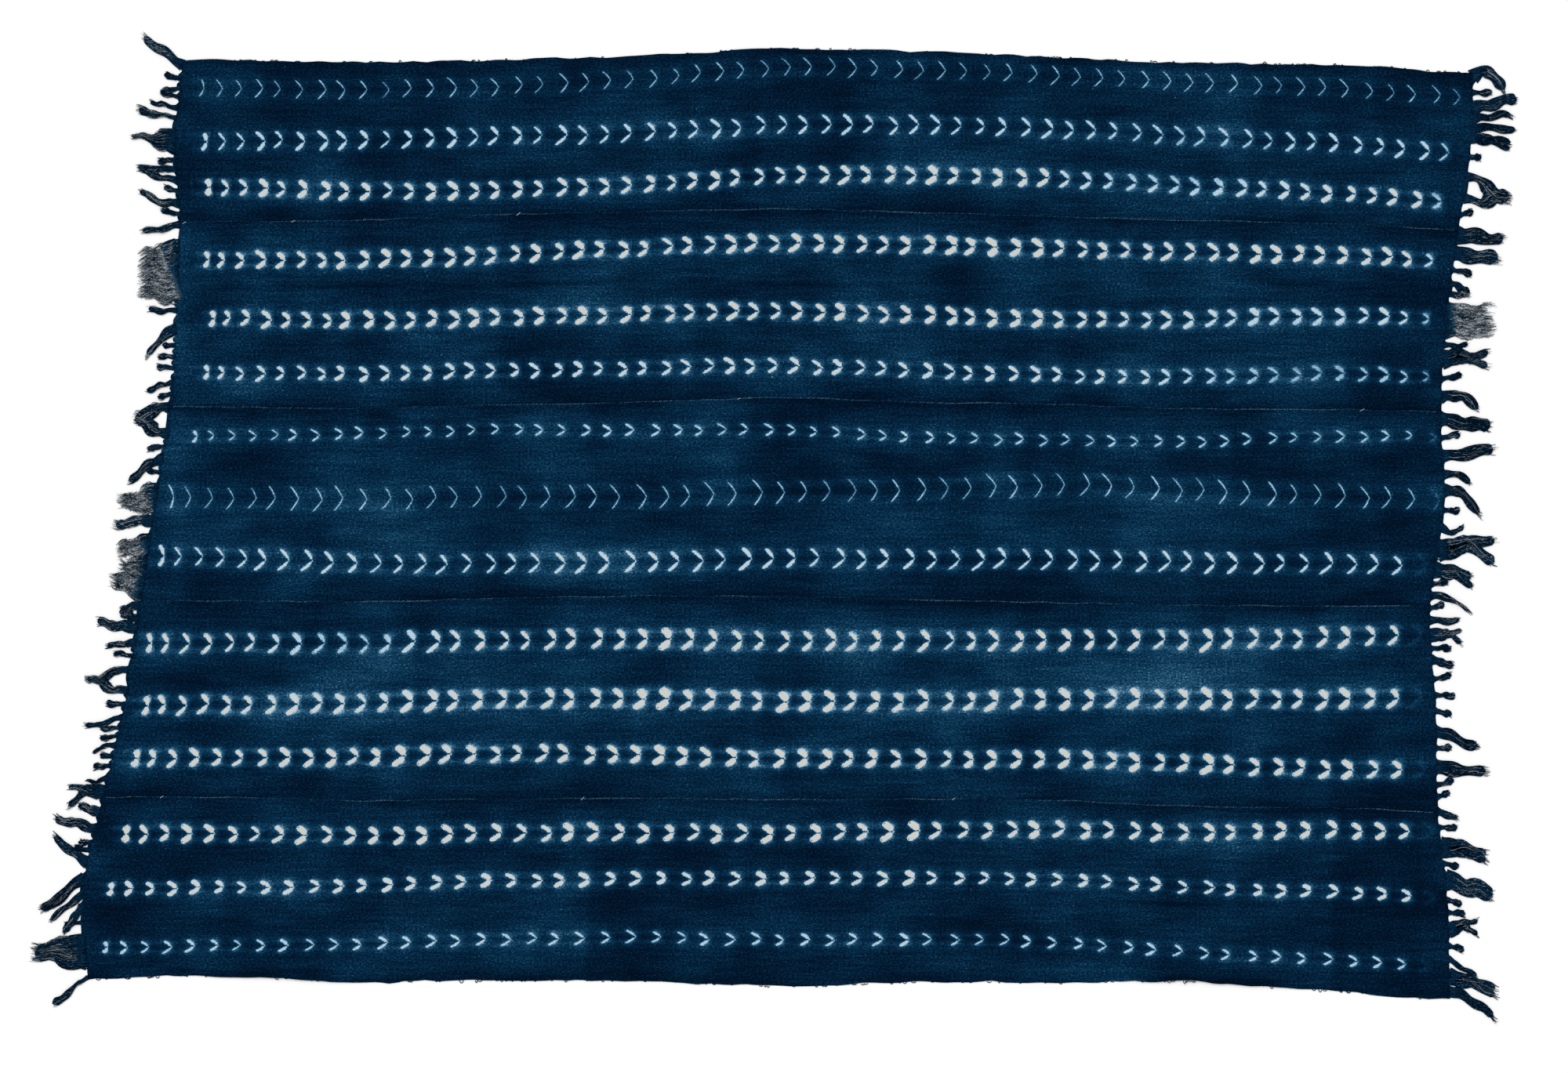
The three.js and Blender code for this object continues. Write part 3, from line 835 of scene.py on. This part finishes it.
def mark_numbers(strip, row, x):
    """Number of the mark at each x, with fractions between marks."""
    index = np.arange(-4, MARKS_PER_STRIP[strip] + 4)
    place = index - CROWDING * (1 - np.exp(-np.maximum(index, 0) / CROWDED_MARKS))
    last = np.interp(MARKS_PER_STRIP[strip] - 1, index, place)
    return np.interp((x - row.first) / (row.last - row.first) * last, place, index)


def strip_rows(strip, x, y):
    """Mark number, height over the row's line and strength of the dye resist, for each row."""
    rows = {}
    upper = line_height(strip, x)
    tight = 1 + sum_of_places(TIGHT_PLACES, x, y)
    last = MARKS_PER_STRIP[strip] - 1
    for i in range(3):
        row = ROWS[3 * strip + i]
        u = mark_numbers(strip, row, x)
        v = y - upper + smooth(row.depths, (x - ROW_START) / ROW_STEP)
        ink = tight * ease(-0.5, -0.4, u) * ease(last + 0.5, last + 0.4, u)
        ink = ink * (1 - (1 - row.ghost) * ease(last - 0.6, last - 0.45, u))
        rows[f"row_{i + 1}"] = np.stack([u, v, ink], -1)
    return rows


def relief(strip, x, y, rows):
    """Height of the cloth's underside over the surface: swells, creases, puckers and seams."""
    z = rise(x, y)
    upper = line_height(strip, x) - y
    lower = y - line_height(strip + 1, x)
    for i in range(3):
        u, v, ink = np.moveaxis(rows[f"row_{i + 1}"], -1, 0)
        half_height = ROWS[3 * strip + i].half_height
        pucker = hump(np.abs(v) - 0.6 * half_height, 0.5 * half_height)
        z += PUCKER * ink * pucker * (0.5 + 0.5 * np.cos(2 * np.pi * u))
    for crease in CREASES:
        away, strength = crease_shape(crease, x, y)
        z += crease.height * strength * hump(away, CREASE_WIDTH)
    top_ridge = EDGE_RIDGE if strip == 0 else SEAM_RIDGE
    low_ridge = EDGE_RIDGE if strip == STRIPS - 1 else SEAM_RIDGE
    z += top_ridge * hump(upper, RIDGE_WIDTH) * (0.8 + 0.4 * wander(x, 25, 31 + strip))
    z += low_ridge * hump(lower, RIDGE_WIDTH) * (0.8 + 0.4 * wander(x, 25, 32 + strip))
    z += RIPPLE * (1 + wander(x, 60, 70 + strip) * wander(y + 300, 35, 80 + strip))
    return np.maximum(z, 0)


def dye_depth(strip, x, y):
    """Tone of the dye before its noises: clouds, dark seams, fold lines, and painted shade just below the
    creases.
    """
    tone = PLAIN_DYE + sum_of_places(DYE_CLOUDS, x, y)
    seam = np.minimum(line_height(strip, x) - y, y - line_height(strip + 1, x))
    tone -= SEAM_DARK * hump(seam, SEAM_DARK_WIDTH)
    for fold in FOLD_LINES:
        inside = ease(fold.low - FOLD_SOFT_END, fold.low + FOLD_SOFT_END, y)
        inside = inside * ease(fold.high + FOLD_SOFT_END, fold.high - FOLD_SOFT_END, y)
        past = x - fold.x - 2 * wander(y, 40, 12)
        tone -= fold.change * inside * ease(-1, 3, past) * np.exp(-np.maximum(past, 0) / FOLD_FADE)
    # Painted shade: the tone is darkened a little below each crease's ridge, where its shade would fall.
    for crease in CREASES:
        away, strength = crease_shape(crease, x, y)
        tone -= CREASE_PAINTED_SHADE * strength * hump(away + CREASE_SHADE_DROP, CREASE_SHADE_WIDTH)
    return tone


def strip_piece(strip):
    """One woven strip as a closed sheet that follows its lines, its ends and the relief."""
    places = np.linspace(0, 1, SHEET_ROWS + 1), np.linspace(0, 1, SHEET_COLUMNS + 1)
    across, along = np.meshgrid(*places, indexing="ij")
    left, _ = end_point("left", strip + across)
    right, middle = end_point("right", strip + across)
    left = left + END_INSET - scallop("left", middle) + END_WAVER * wander(middle, 11, 3)
    right = right - END_INSET + scallop("right", middle) + END_WAVER * wander(middle, 11, 4)
    x = left + (right - left) * along
    upper, lower = line_height(strip, x), line_height(strip + 1, x)
    y = upper + (lower - upper) * across
    if strip == 0:
        y += (1 - across) ** 20 * (1.1 * wander(x, 14, 6) + 1.0 * wander(x, 45, 7))
    if strip == STRIPS - 1:
        y += across**20 * (1.2 * wander(x, 14, 8) + 1.2 * wander(x, 45, 9))
    marks = strip_rows(strip, x, y)
    under = relief(strip, x, y, marks)
    edge = np.minimum(across, 1 - across) * SHEET_ROWS
    edge = np.minimum(edge, np.minimum(along, 1 - along) * SHEET_COLUMNS)
    top = under + CLOTH_THICKNESS - EDGE_ROUNDING * np.clip(1 - edge, 0, 1)
    faces, uvs = sheet_faces(across, along)
    verts = np.concatenate([np.stack([x, y, z], -1).reshape(-1, 3) for z in (top, under)])
    attributes = {key: np.concatenate([v.reshape(-1, 3)] * 2) for key, v in marks.items()}
    attributes["dye"] = np.concatenate([dye_depth(strip, x, y).ravel()] * 2)
    piece = new_piece(f"strip_{strip + 1}_cloth", verts, faces, cloth_material(strip), attributes, uvs)
    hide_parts(f"strip_{strip + 1}")
    return piece, ((upper - lower).mean() * MM, (right.mean() - left.mean()) * MM)


def sheet_faces(across, along):
    """Faces of a closed sheet and its surface layout: the face and the back in three lengths each."""
    grid = np.arange(across.size).reshape(across.shape)
    a, b, c, d = grid[:-1, :-1], grid[:-1, 1:], grid[1:, :-1], grid[1:, 1:]
    face = np.stack([a, c, d, b], -1).reshape(-1, 4)
    back = np.stack([a, b, d, c], -1).reshape(-1, 4)
    rim = np.concatenate([grid[0, :-1], grid[:-1, -1], grid[-1, :0:-1], grid[:0:-1, 0]])
    ahead = np.roll(rim, -1)
    layer = across.size
    faces = np.concatenate([face, back + layer, np.stack([rim, ahead, ahead + layer, rim + layer], -1)])
    uvs = []
    for part, (start, wide) in ((face, FACE_LAYOUT), (back, BACK_LAYOUT)):
        place = along.ravel()[part] * LAYOUT_LENGTHS
        length = np.minimum(np.floor(place.mean(1, keepdims=True)), LAYOUT_LENGTHS - 1)
        u = start + wide * (place - length)
        v = (length + 0.02 + 0.96 * (1 - across.ravel()[part])) / LAYOUT_LENGTHS
        uvs.append(np.stack([u, v], -1).reshape(-1, 2))
    low = np.arange(len(rim)) / len(rim)
    high = low + 0.8 / len(rim)
    u = np.tile(np.repeat(RIM_LAYOUT, 2), (len(rim), 1))
    uvs.append(np.stack([u, np.stack([low, high, high, low], -1)], -1).reshape(-1, 2))
    return faces, np.concatenate(uvs)


def tubes(paths, radii, shades, sides):
    """Strands from centre lines, no thicker than they lie high: vertices, faces, shade and layout."""
    paths = np.asarray(paths, float)
    radii = np.asarray(radii, float)
    count, length, _ = paths.shape
    ahead = np.gradient(paths, axis=1)
    ahead /= np.linalg.norm(ahead, axis=2, keepdims=True) + 1e-9
    beside = np.cross(ahead, (0.0, 0.0, 1.0)) + np.array((1e-6, 0, 0))
    beside /= np.linalg.norm(beside, axis=2, keepdims=True)
    above = np.cross(beside, ahead)
    turn = np.arange(sides) * 2 * np.pi / sides
    wide = beside[:, :, None] * np.cos(turn)[:, None] * radii[:, :, None, None]
    half_height = np.minimum(radii, paths[:, :, 2])
    high = above[:, :, None] * np.sin(turn)[:, None] * half_height[:, :, None, None]
    verts = (paths[:, :, None] + wide + high).reshape(-1, 3)
    verts[:, 2] = np.maximum(verts[:, 2], LOWEST_YARN)
    index = np.arange(count * length * sides).reshape(count, length, sides)
    near, far = index[:, :-1], index[:, 1:]
    quads = np.stack([near, np.roll(near, -1, 2), np.roll(far, -1, 2), far], -1).reshape(-1, 4)
    caps = np.concatenate([index[:, 0, ::-1], index[:, -1]])
    shade = np.repeat(np.asarray(shades)[:, :, None], sides, 2).reshape(len(verts), -1)
    cells = math.ceil(math.sqrt(count))
    cell = np.arange(count)
    corner = np.stack([cell % cells, cell // cells], -1) / cells
    i, j = np.meshgrid(np.arange(length - 1), np.arange(sides), indexing="ij")
    corners = (i, j), (i, j + 1), (i + 1, j + 1), (i + 1, j)
    square = np.stack([np.stack(pair, -1) for pair in corners], 2)
    square = square / np.array((length - 1, sides)) * (1 - 2 * STRAND_MARGIN) + STRAND_MARGIN
    uv_quads = (corner[:, None, None, None] + square[None] / cells).reshape(-1, 2)
    uv_caps = np.repeat(np.concatenate([corner, corner]) + STRAND_MARGIN / cells, sides, 0)
    return verts, [*quads.tolist(), *caps.tolist()], shade, np.concatenate([uv_quads, uv_caps])


def waves(f, count, rng):
    """Sine of count waves over f, starting anywhere."""
    return np.sin(2 * np.pi * (count * f + rng.uniform()))


class Branch:
    """One finger of a tassel: the whole of it, one tip of a fork or one leg of a loop."""

    def __init__(self, side, tassel, drop, leg, rng):
        self.side = side
        self.tassel = tassel
        self.drop = drop
        self.leg = leg
        self.out = -1 if side == "left" else 1
        self.start = end_at_height(side, tassel.at)
        self.sway = min(SWAY_SHARE * tassel.reach, MOST_SWAY) * rng.uniform(0.5, 1.0)
        self.bends = rng.uniform(0.9, 1.7)
        self.phase = rng.uniform()
        self.lumps = rng.uniform(1.4, 2.8)

    def line(self, f):
        """Place of the middle and half the width at f, which runs from root to tip."""
        tassel = self.tassel
        away = tassel.reach * f
        y = tassel.at + tassel.drift * f + 4 * tassel.bow * f * (1 - f)
        y = y + self.sway * np.sin(2 * np.pi * (self.bends * f + self.phase)) * ease(0, 14, away)
        y = y - self.drop * np.clip((f - FORK_START) / (1 - FORK_START), 0, 1)
        half = 0.5 * (tassel.root + (tassel.tip - tassel.root) * ease(0.2, 0.75, f))
        if self.drop or tassel.fork:
            half = half * (1.1 - 0.15 * ease(FORK_START, 0.8, f))
        if self.leg:
            apart = 1 - ease(*LEGS_JOIN, f)
            y = y + self.leg * apart * (tassel.root + tassel.gap) * 0.25
            half = half * (1 - apart) + apart * (tassel.root - tassel.gap) * 0.25
        lump = np.minimum(LUMP_SHARE * half, MOST_LUMP)
        half = half + lump * np.sin(2 * np.pi * (self.lumps * f + 2 * self.phase))
        return self.start + self.out * away, y, half + ROOT_FLARE * np.exp(-away / 3.0)


def add_tassel(side, tassel, rng, cores, strands, fibres):
    """Adds one tassel: matted cores for its outline, strands over them and thin frayed fibres."""
    drops = (0, tassel.fork) if tassel.fork else (0,)
    legs = (1, -1) if tassel.gap else (0,)
    width = max(tassel.root, tassel.tip) / (len(drops) * len(legs))
    kind = LOOSE if tassel.tip >= LOOSE_TIP and tassel.pale >= LOOSE_PALE else TWISTED
    for drop in drops:
        for leg in legs:
            branch = Branch(side, tassel, drop, leg, rng)
            add_core(branch, rng, kind, cores)
            add_strands(branch, rng, max(2, round(width * kind.strands)), kind, strands)
            add_fibres(branch, rng, round(2 + width * kind.fibres), kind, fibres)


def add_core(branch, rng, kind, cores):
    """Matted core with a blunt tip, which gives the branch its outline."""
    f = 0.5 - 0.5 * np.cos(np.linspace(0, np.pi, CORE_STEPS))
    x, y, half = branch.line(f)
    share = rng.uniform(*kind.core_share)
    length = branch.tassel.reach * share
    away = length * f
    blunt = np.clip(1 - (length - away) / (0.9 * half), 0, 1)
    fullness = LOOSE_CORE_FULLNESS if kind is LOOSE else CORE_FULLNESS[branch.side]
    radius = half * fullness * np.sqrt(1.02 - blunt**2)
    path_x = np.interp(share * f, f, x) - branch.out * ROOT_INSET * np.exp(-away / 4)
    path_y = np.interp(share * f, f, y)
    height = CORE_ROOT_HEIGHT + (CORE_HEIGHT - CORE_ROOT_HEIGHT) * ease(0, 6, away)
    path = np.stack([path_x, path_y, np.minimum(radius, height)], -1)
    tint = LOOSE_CORE_TINT if kind is LOOSE else rng.uniform(*CORE_TINTS)
    shade = DYED_ROOT + (tint - DYED_ROOT) * ease(2, kind.core_dyed, away)
    fray = (branch.tassel.pale + FRAY) * ease(4, 14, away)
    cores.append((path, radius, np.stack([shade, fray], -1)))


def add_strands(branch, rng, count, kind, strands):
    """Strands over a core. Those of a loose tuft wave together in locks of like shade."""
    loose = kind is LOOSE
    tassel = branch.tassel
    f = np.linspace(0, 1, STRAND_STEPS)
    _, y, half = branch.line(f)
    away = tassel.reach * f
    first_turn = rng.uniform(0, 2 * np.pi)
    locks = max(1, round(2 * half[0] / LOCK_WIDTH))
    lock_waves = [waves(f, tassel.reach / rng.uniform(14, 22), rng) for _ in range(locks)]
    lock_pale = rng.uniform(-0.25, 0.25, locks)
    for k in range(count):
        lock = k * locks // count
        radius = rng.uniform(*STRAND_RADII) * (1 - 0.5 * ease(0.85, 1, f))
        spin = first_turn + 2 * np.pi * (k / count + tassel.turns * f)
        place = (2 * (k + rng.uniform()) / count - 1) if count > TWISTED_TOGETHER else np.cos(spin)
        sway = rng.uniform(0.3, 0.9) * waves(f, tassel.reach / rng.uniform(11, 24), rng)
        if loose:
            sway = sway + LOCK_SWAY * lock_waves[lock]
        sway = sway * ease(0, 10, away)
        share = rng.uniform(*kind.strand_share)
        beside = place * half * 0.98
        over = np.sqrt(np.maximum(1 - 0.9 * place**2, 0)) * rng.uniform(0.8, 1.15)
        root = end_at_height(branch.side, tassel.at + np.mean(beside[:2])) - branch.start
        path_x = branch.start + branch.out * away * share + branch.out * 0.35 * sway
        path_x = path_x + (root - branch.out * ROOT_INSET) * np.exp(-away / 6)
        path_y = np.interp(share * f, f, y) + beside + sway
        low = 0.9 + 0.7 * over
        path_z = low + (CORE_HEIGHT * (0.4 + over) + 0.25 - low) * ease(0, 7, away)
        pale = rng.uniform() < tassel.pale + PALE_TOP + (lock_pale[lock] if loose else 0)
        tint = rng.uniform(0.62, 0.96) if pale else rng.uniform(*DARK_TINTS)
        root_tint = DYED_ROOT + rng.uniform(-0.12, 0.16)
        dyed = rng.uniform(*kind.strand_dyed)
        shade = root_tint + (tint - root_tint) * ease(dyed, dyed + DYED_STRETCH, away)
        shade = np.stack([shade, STRAND_FRAY * ease(4, 14, away)], -1)
        strands.append((np.stack([path_x, path_y, path_z], -1), radius, shade))


def add_fibres(branch, rng, count, kind, fibres):
    """Short curled fibres that stand out of the strands."""
    steps = np.linspace(0, 1, FIBRE_STEPS)
    tassel = branch.tassel
    for _ in range(count):
        first = rng.uniform(*kind.fibre_first)
        f = first + min(rng.uniform(*kind.fibre_share), 1.08 - first) * steps
        _, y, half = branch.line(np.minimum(f, 1))
        curl = rng.uniform(*kind.fibre_curl)
        turns = rng.uniform(*kind.fibre_turns)
        sway = curl * waves(steps, turns, rng)
        place = rng.uniform(-1.05, 1.05)
        path_x = branch.start + branch.out * (tassel.reach * f + 0.8 * curl * waves(steps, turns, rng))
        path_y = y + place * half + sway
        over = math.sqrt(max(1 - 0.85 * place * place, 0.05)) * rng.uniform(0.8, 1.1)
        path_z = np.full(FIBRE_STEPS, 0.5 + (CORE_HEIGHT * 2 + 0.5) * over)
        radius = rng.uniform(*FIBRE_RADII) * (1 - 0.4 * steps)
        pale = rng.uniform() < (LOOSE_FIBRES_PALE if kind is LOOSE else tassel.pale + 0.1)
        tint = rng.uniform(0.6, 1.0) if pale else rng.uniform(*DARK_TINTS)
        shade = np.stack([np.full(FIBRE_STEPS, tint), np.zeros(FIBRE_STEPS)], -1)
        fibres.append((np.stack([path_x, path_y, path_z], -1), radius, shade))


def stub_rows(side, tassels):
    """Short knotted ends that fill the gaps between the tassels, with thick tips."""
    rows = []
    for upper, lower in zip(tassels, tassels[1:]):
        above = upper.at - upper.root / 2
        below = lower.at + lower.root / 2
        count = math.floor((above - below) / STUB_PITCH[side])
        for i in range(1, count + 1):
            at = above + (below - above) * i / (count + 1)
            reach = STUB_REACH + STUB_REACH_SPREAD * math.sin(at * STUB_REACH_WAVE) ** 2
            drift = STUB_DRIFT * math.sin(at * STUB_DRIFT_WAVE)
            rows.append(Tassel(at, reach, drift, STUB_ROOT, STUB_TIP, STUB_TURNS, STUB_PALE))
    return rows


def join_meshes(meshes):
    """One mesh from several, laid out side by side."""
    verts, faces, shades, uvs = [], [], [], []
    start = 0
    for i, (part_verts, part_faces, part_shade, part_uvs) in enumerate(meshes):
        verts.append(part_verts)
        faces += [[corner + start for corner in face] for face in part_faces]
        shades.append(part_shade)
        uvs.append((part_uvs + (i, 0)) * (1 / len(meshes), 1))
        start += len(part_verts)
    return np.concatenate(verts), faces, np.concatenate(shades), np.concatenate(uvs)


def fringe_piece(side, tassels, material, seed):
    """A whole fringe as one mesh of cores, strands and fibres."""
    rng = np.random.default_rng(seed)
    cores, strands, fibres = [], [], []
    for tassel in (*tassels, *stub_rows(side, tassels)):
        add_tassel(side, tassel, rng, cores, strands, fibres)
    layers = ((cores, CORE_SIDES), (strands, STRAND_SIDES), (fibres, FIBRE_SIDES))
    verts, faces, shade, uvs = join_meshes([tubes(*zip(*layer), sides) for layer, sides in layers])
    attributes = {"shade": shade[:, 0], "fray": shade[:, 1]}
    piece = new_piece(f"fringe_{side}_yarn", verts, faces, material, attributes, uvs)
    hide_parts(f"fringe_{side}")
    return piece


def thread_piece(name, paths, shades, radius, sides, material):
    """Short threads of one thickness, joined into one piece with the given material."""
    shades = np.repeat(shades[:, None], paths.shape[1], 1)
    verts, faces, shade, uvs = tubes(paths, np.full(paths.shape[:2], radius), shades, sides)
    piece = new_piece(name, verts, faces, material, {"shade": shade[:, 0]}, uvs)
    return piece


def seam_piece(seam, material):
    """Overcast stitches along one seam, each a short slanted arch from one strip to the next."""
    rng = np.random.default_rng(200 + seam)
    left = end_point("left", float(seam))[0] + STITCH_MARGIN
    right = end_point("right", float(seam))[0] - STITCH_MARGIN
    centre = np.arange(left, right, STITCH_PITCH)
    count = len(centre)
    centre = centre + rng.uniform(-0.5, 0.5, count)
    loose = rng.uniform(size=count) < LOOSE_STITCHES
    stretch = np.where(loose, LOOSE_STRETCH, 1.0)
    bright = wander(centre, 48, 220 + seam)
    f = np.linspace(-1, 1, 5)
    x = centre[:, None] + f * (rng.uniform(*STITCH_REACH, count) * stretch)[:, None]
    y = line_height(seam, x) + f * (rng.uniform(*STITCH_SLANT, count) * stretch)[:, None]
    y = y + 0.7 * wander(centre, 20, 210 + seam)[:, None]
    sunk = np.where(loose, 0, ease(0.0, -0.5, bright))
    z = rise(x, y) + CLOTH_THICKNESS + STITCH_LIFT - f**4 - STITCH_SINK * sunk[:, None]
    shade = STITCH_SHADE + 0.26 * bright + rng.uniform(-0.20, 0.20, count)
    shade = np.where(loose, 1.0, np.clip(shade, 0, BRIGHTEST_STITCH))
    paths = np.stack([x, y, z], -1)
    return thread_piece(f"seam_{seam}_stitches", paths, shade, STITCH_RADIUS, STITCH_SIDES, material)


def selvedge_piece(name, line, out, material, seed):
    """Loose weft loops along a long edge."""
    rng = np.random.default_rng(seed)
    left = end_point("left", float(line))[0] + LOOP_MARGIN
    right = end_point("right", float(line))[0] - LOOP_MARGIN
    centre = rng.uniform(left, right, LOOP_COUNT)
    f = np.linspace(0, 1, 8)
    stretch = np.where(rng.uniform(size=LOOP_COUNT) < LONG_LOOPS, LONG_LOOP_STRETCH, 1.0)
    reach = (rng.uniform(*LOOP_REACH, LOOP_COUNT) * stretch)[:, None]
    span = rng.uniform(*LOOP_SPAN, LOOP_COUNT)[:, None]
    x = centre[:, None] + span * (f - 0.5)
    y = line_height(line, x) + out * (reach * np.sin(np.pi * f) - 0.9)
    z = rise(x, y) + 0.8 + rng.uniform(0, 0.5, LOOP_COUNT)[:, None]
    shade = rng.uniform(*LOOP_SHADES, LOOP_COUNT)
    return thread_piece(name, np.stack([x, y, z], -1), shade, LOOP_RADIUS, LOOP_SIDES, material)


def make_floor():
    """Plain pale floor under the cloth."""
    mesh = bpy.data.meshes.new("floor")
    signs = ((-1, -1), (1, -1), (1, 1), (-1, 1))
    mesh.from_pydata([(FLOOR_HALF * x, FLOOR_HALF * y, -FLOOR_DROP) for x, y in signs], [], [(0, 1, 2, 3)])
    material = bpy.data.materials.new("floor_white")
    material.use_nodes = True
    shader = material.node_tree.nodes["Principled BSDF"]
    shader.inputs["Base Color"].default_value = FLOOR_COLOUR
    shader.inputs["Roughness"].default_value = FLOOR_ROUGHNESS
    shader.inputs["Specular IOR Level"].default_value = 0.0
    mesh.materials.append(material)
    floor = add_object("floor", mesh)
    return floor


def light_studio(scene):
    """Even white light from all round and one soft sun."""
    world = bpy.data.worlds.new("studio")
    world.use_nodes = True
    background = world.node_tree.nodes["Background"]
    background.inputs[0].default_value = (1, 1, 1, 1)
    background.inputs[1].default_value = SKY_STRENGTH
    scene.world = world
    scene.view_settings.view_transform = "Standard"
    sun = bpy.data.lights.new("soft_key", "SUN")
    sun.energy = SUN_STRENGTH
    sun.angle = math.radians(SUN_SPREAD)
    key = add_object("soft_key", sun)
    key.rotation_euler = (math.radians(SUN_TILT[0]), math.radians(SUN_TILT[1]), 0)


def place_camera(scene):
    """Camera straight above the cloth, as far off as its lens needs for the width in view."""
    lens = bpy.data.cameras.new("camera")
    lens.lens = LENS
    lens.sensor_width = SENSOR
    lens.clip_end = FAR_CLIP
    camera = add_object("camera", lens)
    camera.location = (*VIEW_CENTRE, VIEW_HEIGHT + VIEW_WIDTH / SENSOR * LENS)
    scene.camera = camera


yarn = yarn_material("fringe_yarn", YARN, 0.9)
stitch_yarn = yarn_material("seam_yarn", STITCH, 0.4)
floor = make_floor()
sheets = [strip_piece(strip) for strip in range(STRIPS)]
fringes = [
    fringe_piece("left", LEFT_TASSELS, yarn, 21),
    fringe_piece("right", RIGHT_TASSELS, yarn, 22),
]
seams = [seam_piece(seam, stitch_yarn) for seam in range(1, STRIPS)]
selvedges = [
    selvedge_piece("top_selvedge_loops", 0, 1, stitch_yarn, 31),
    selvedge_piece("bottom_selvedge_loops", STRIPS, -1, stitch_yarn, 32),
]
for strip, (piece, size) in enumerate(sheets):
    extras = list(fringes) if strip == 0 else []
    extras += [seams[strip]] if strip < STRIPS - 1 else []
    extras += [selvedges[0]] if strip == 0 else []
    extras += [selvedges[1]] if strip == STRIPS - 1 else []

light_studio(bpy.context.scene)
place_camera(bpy.context.scene)
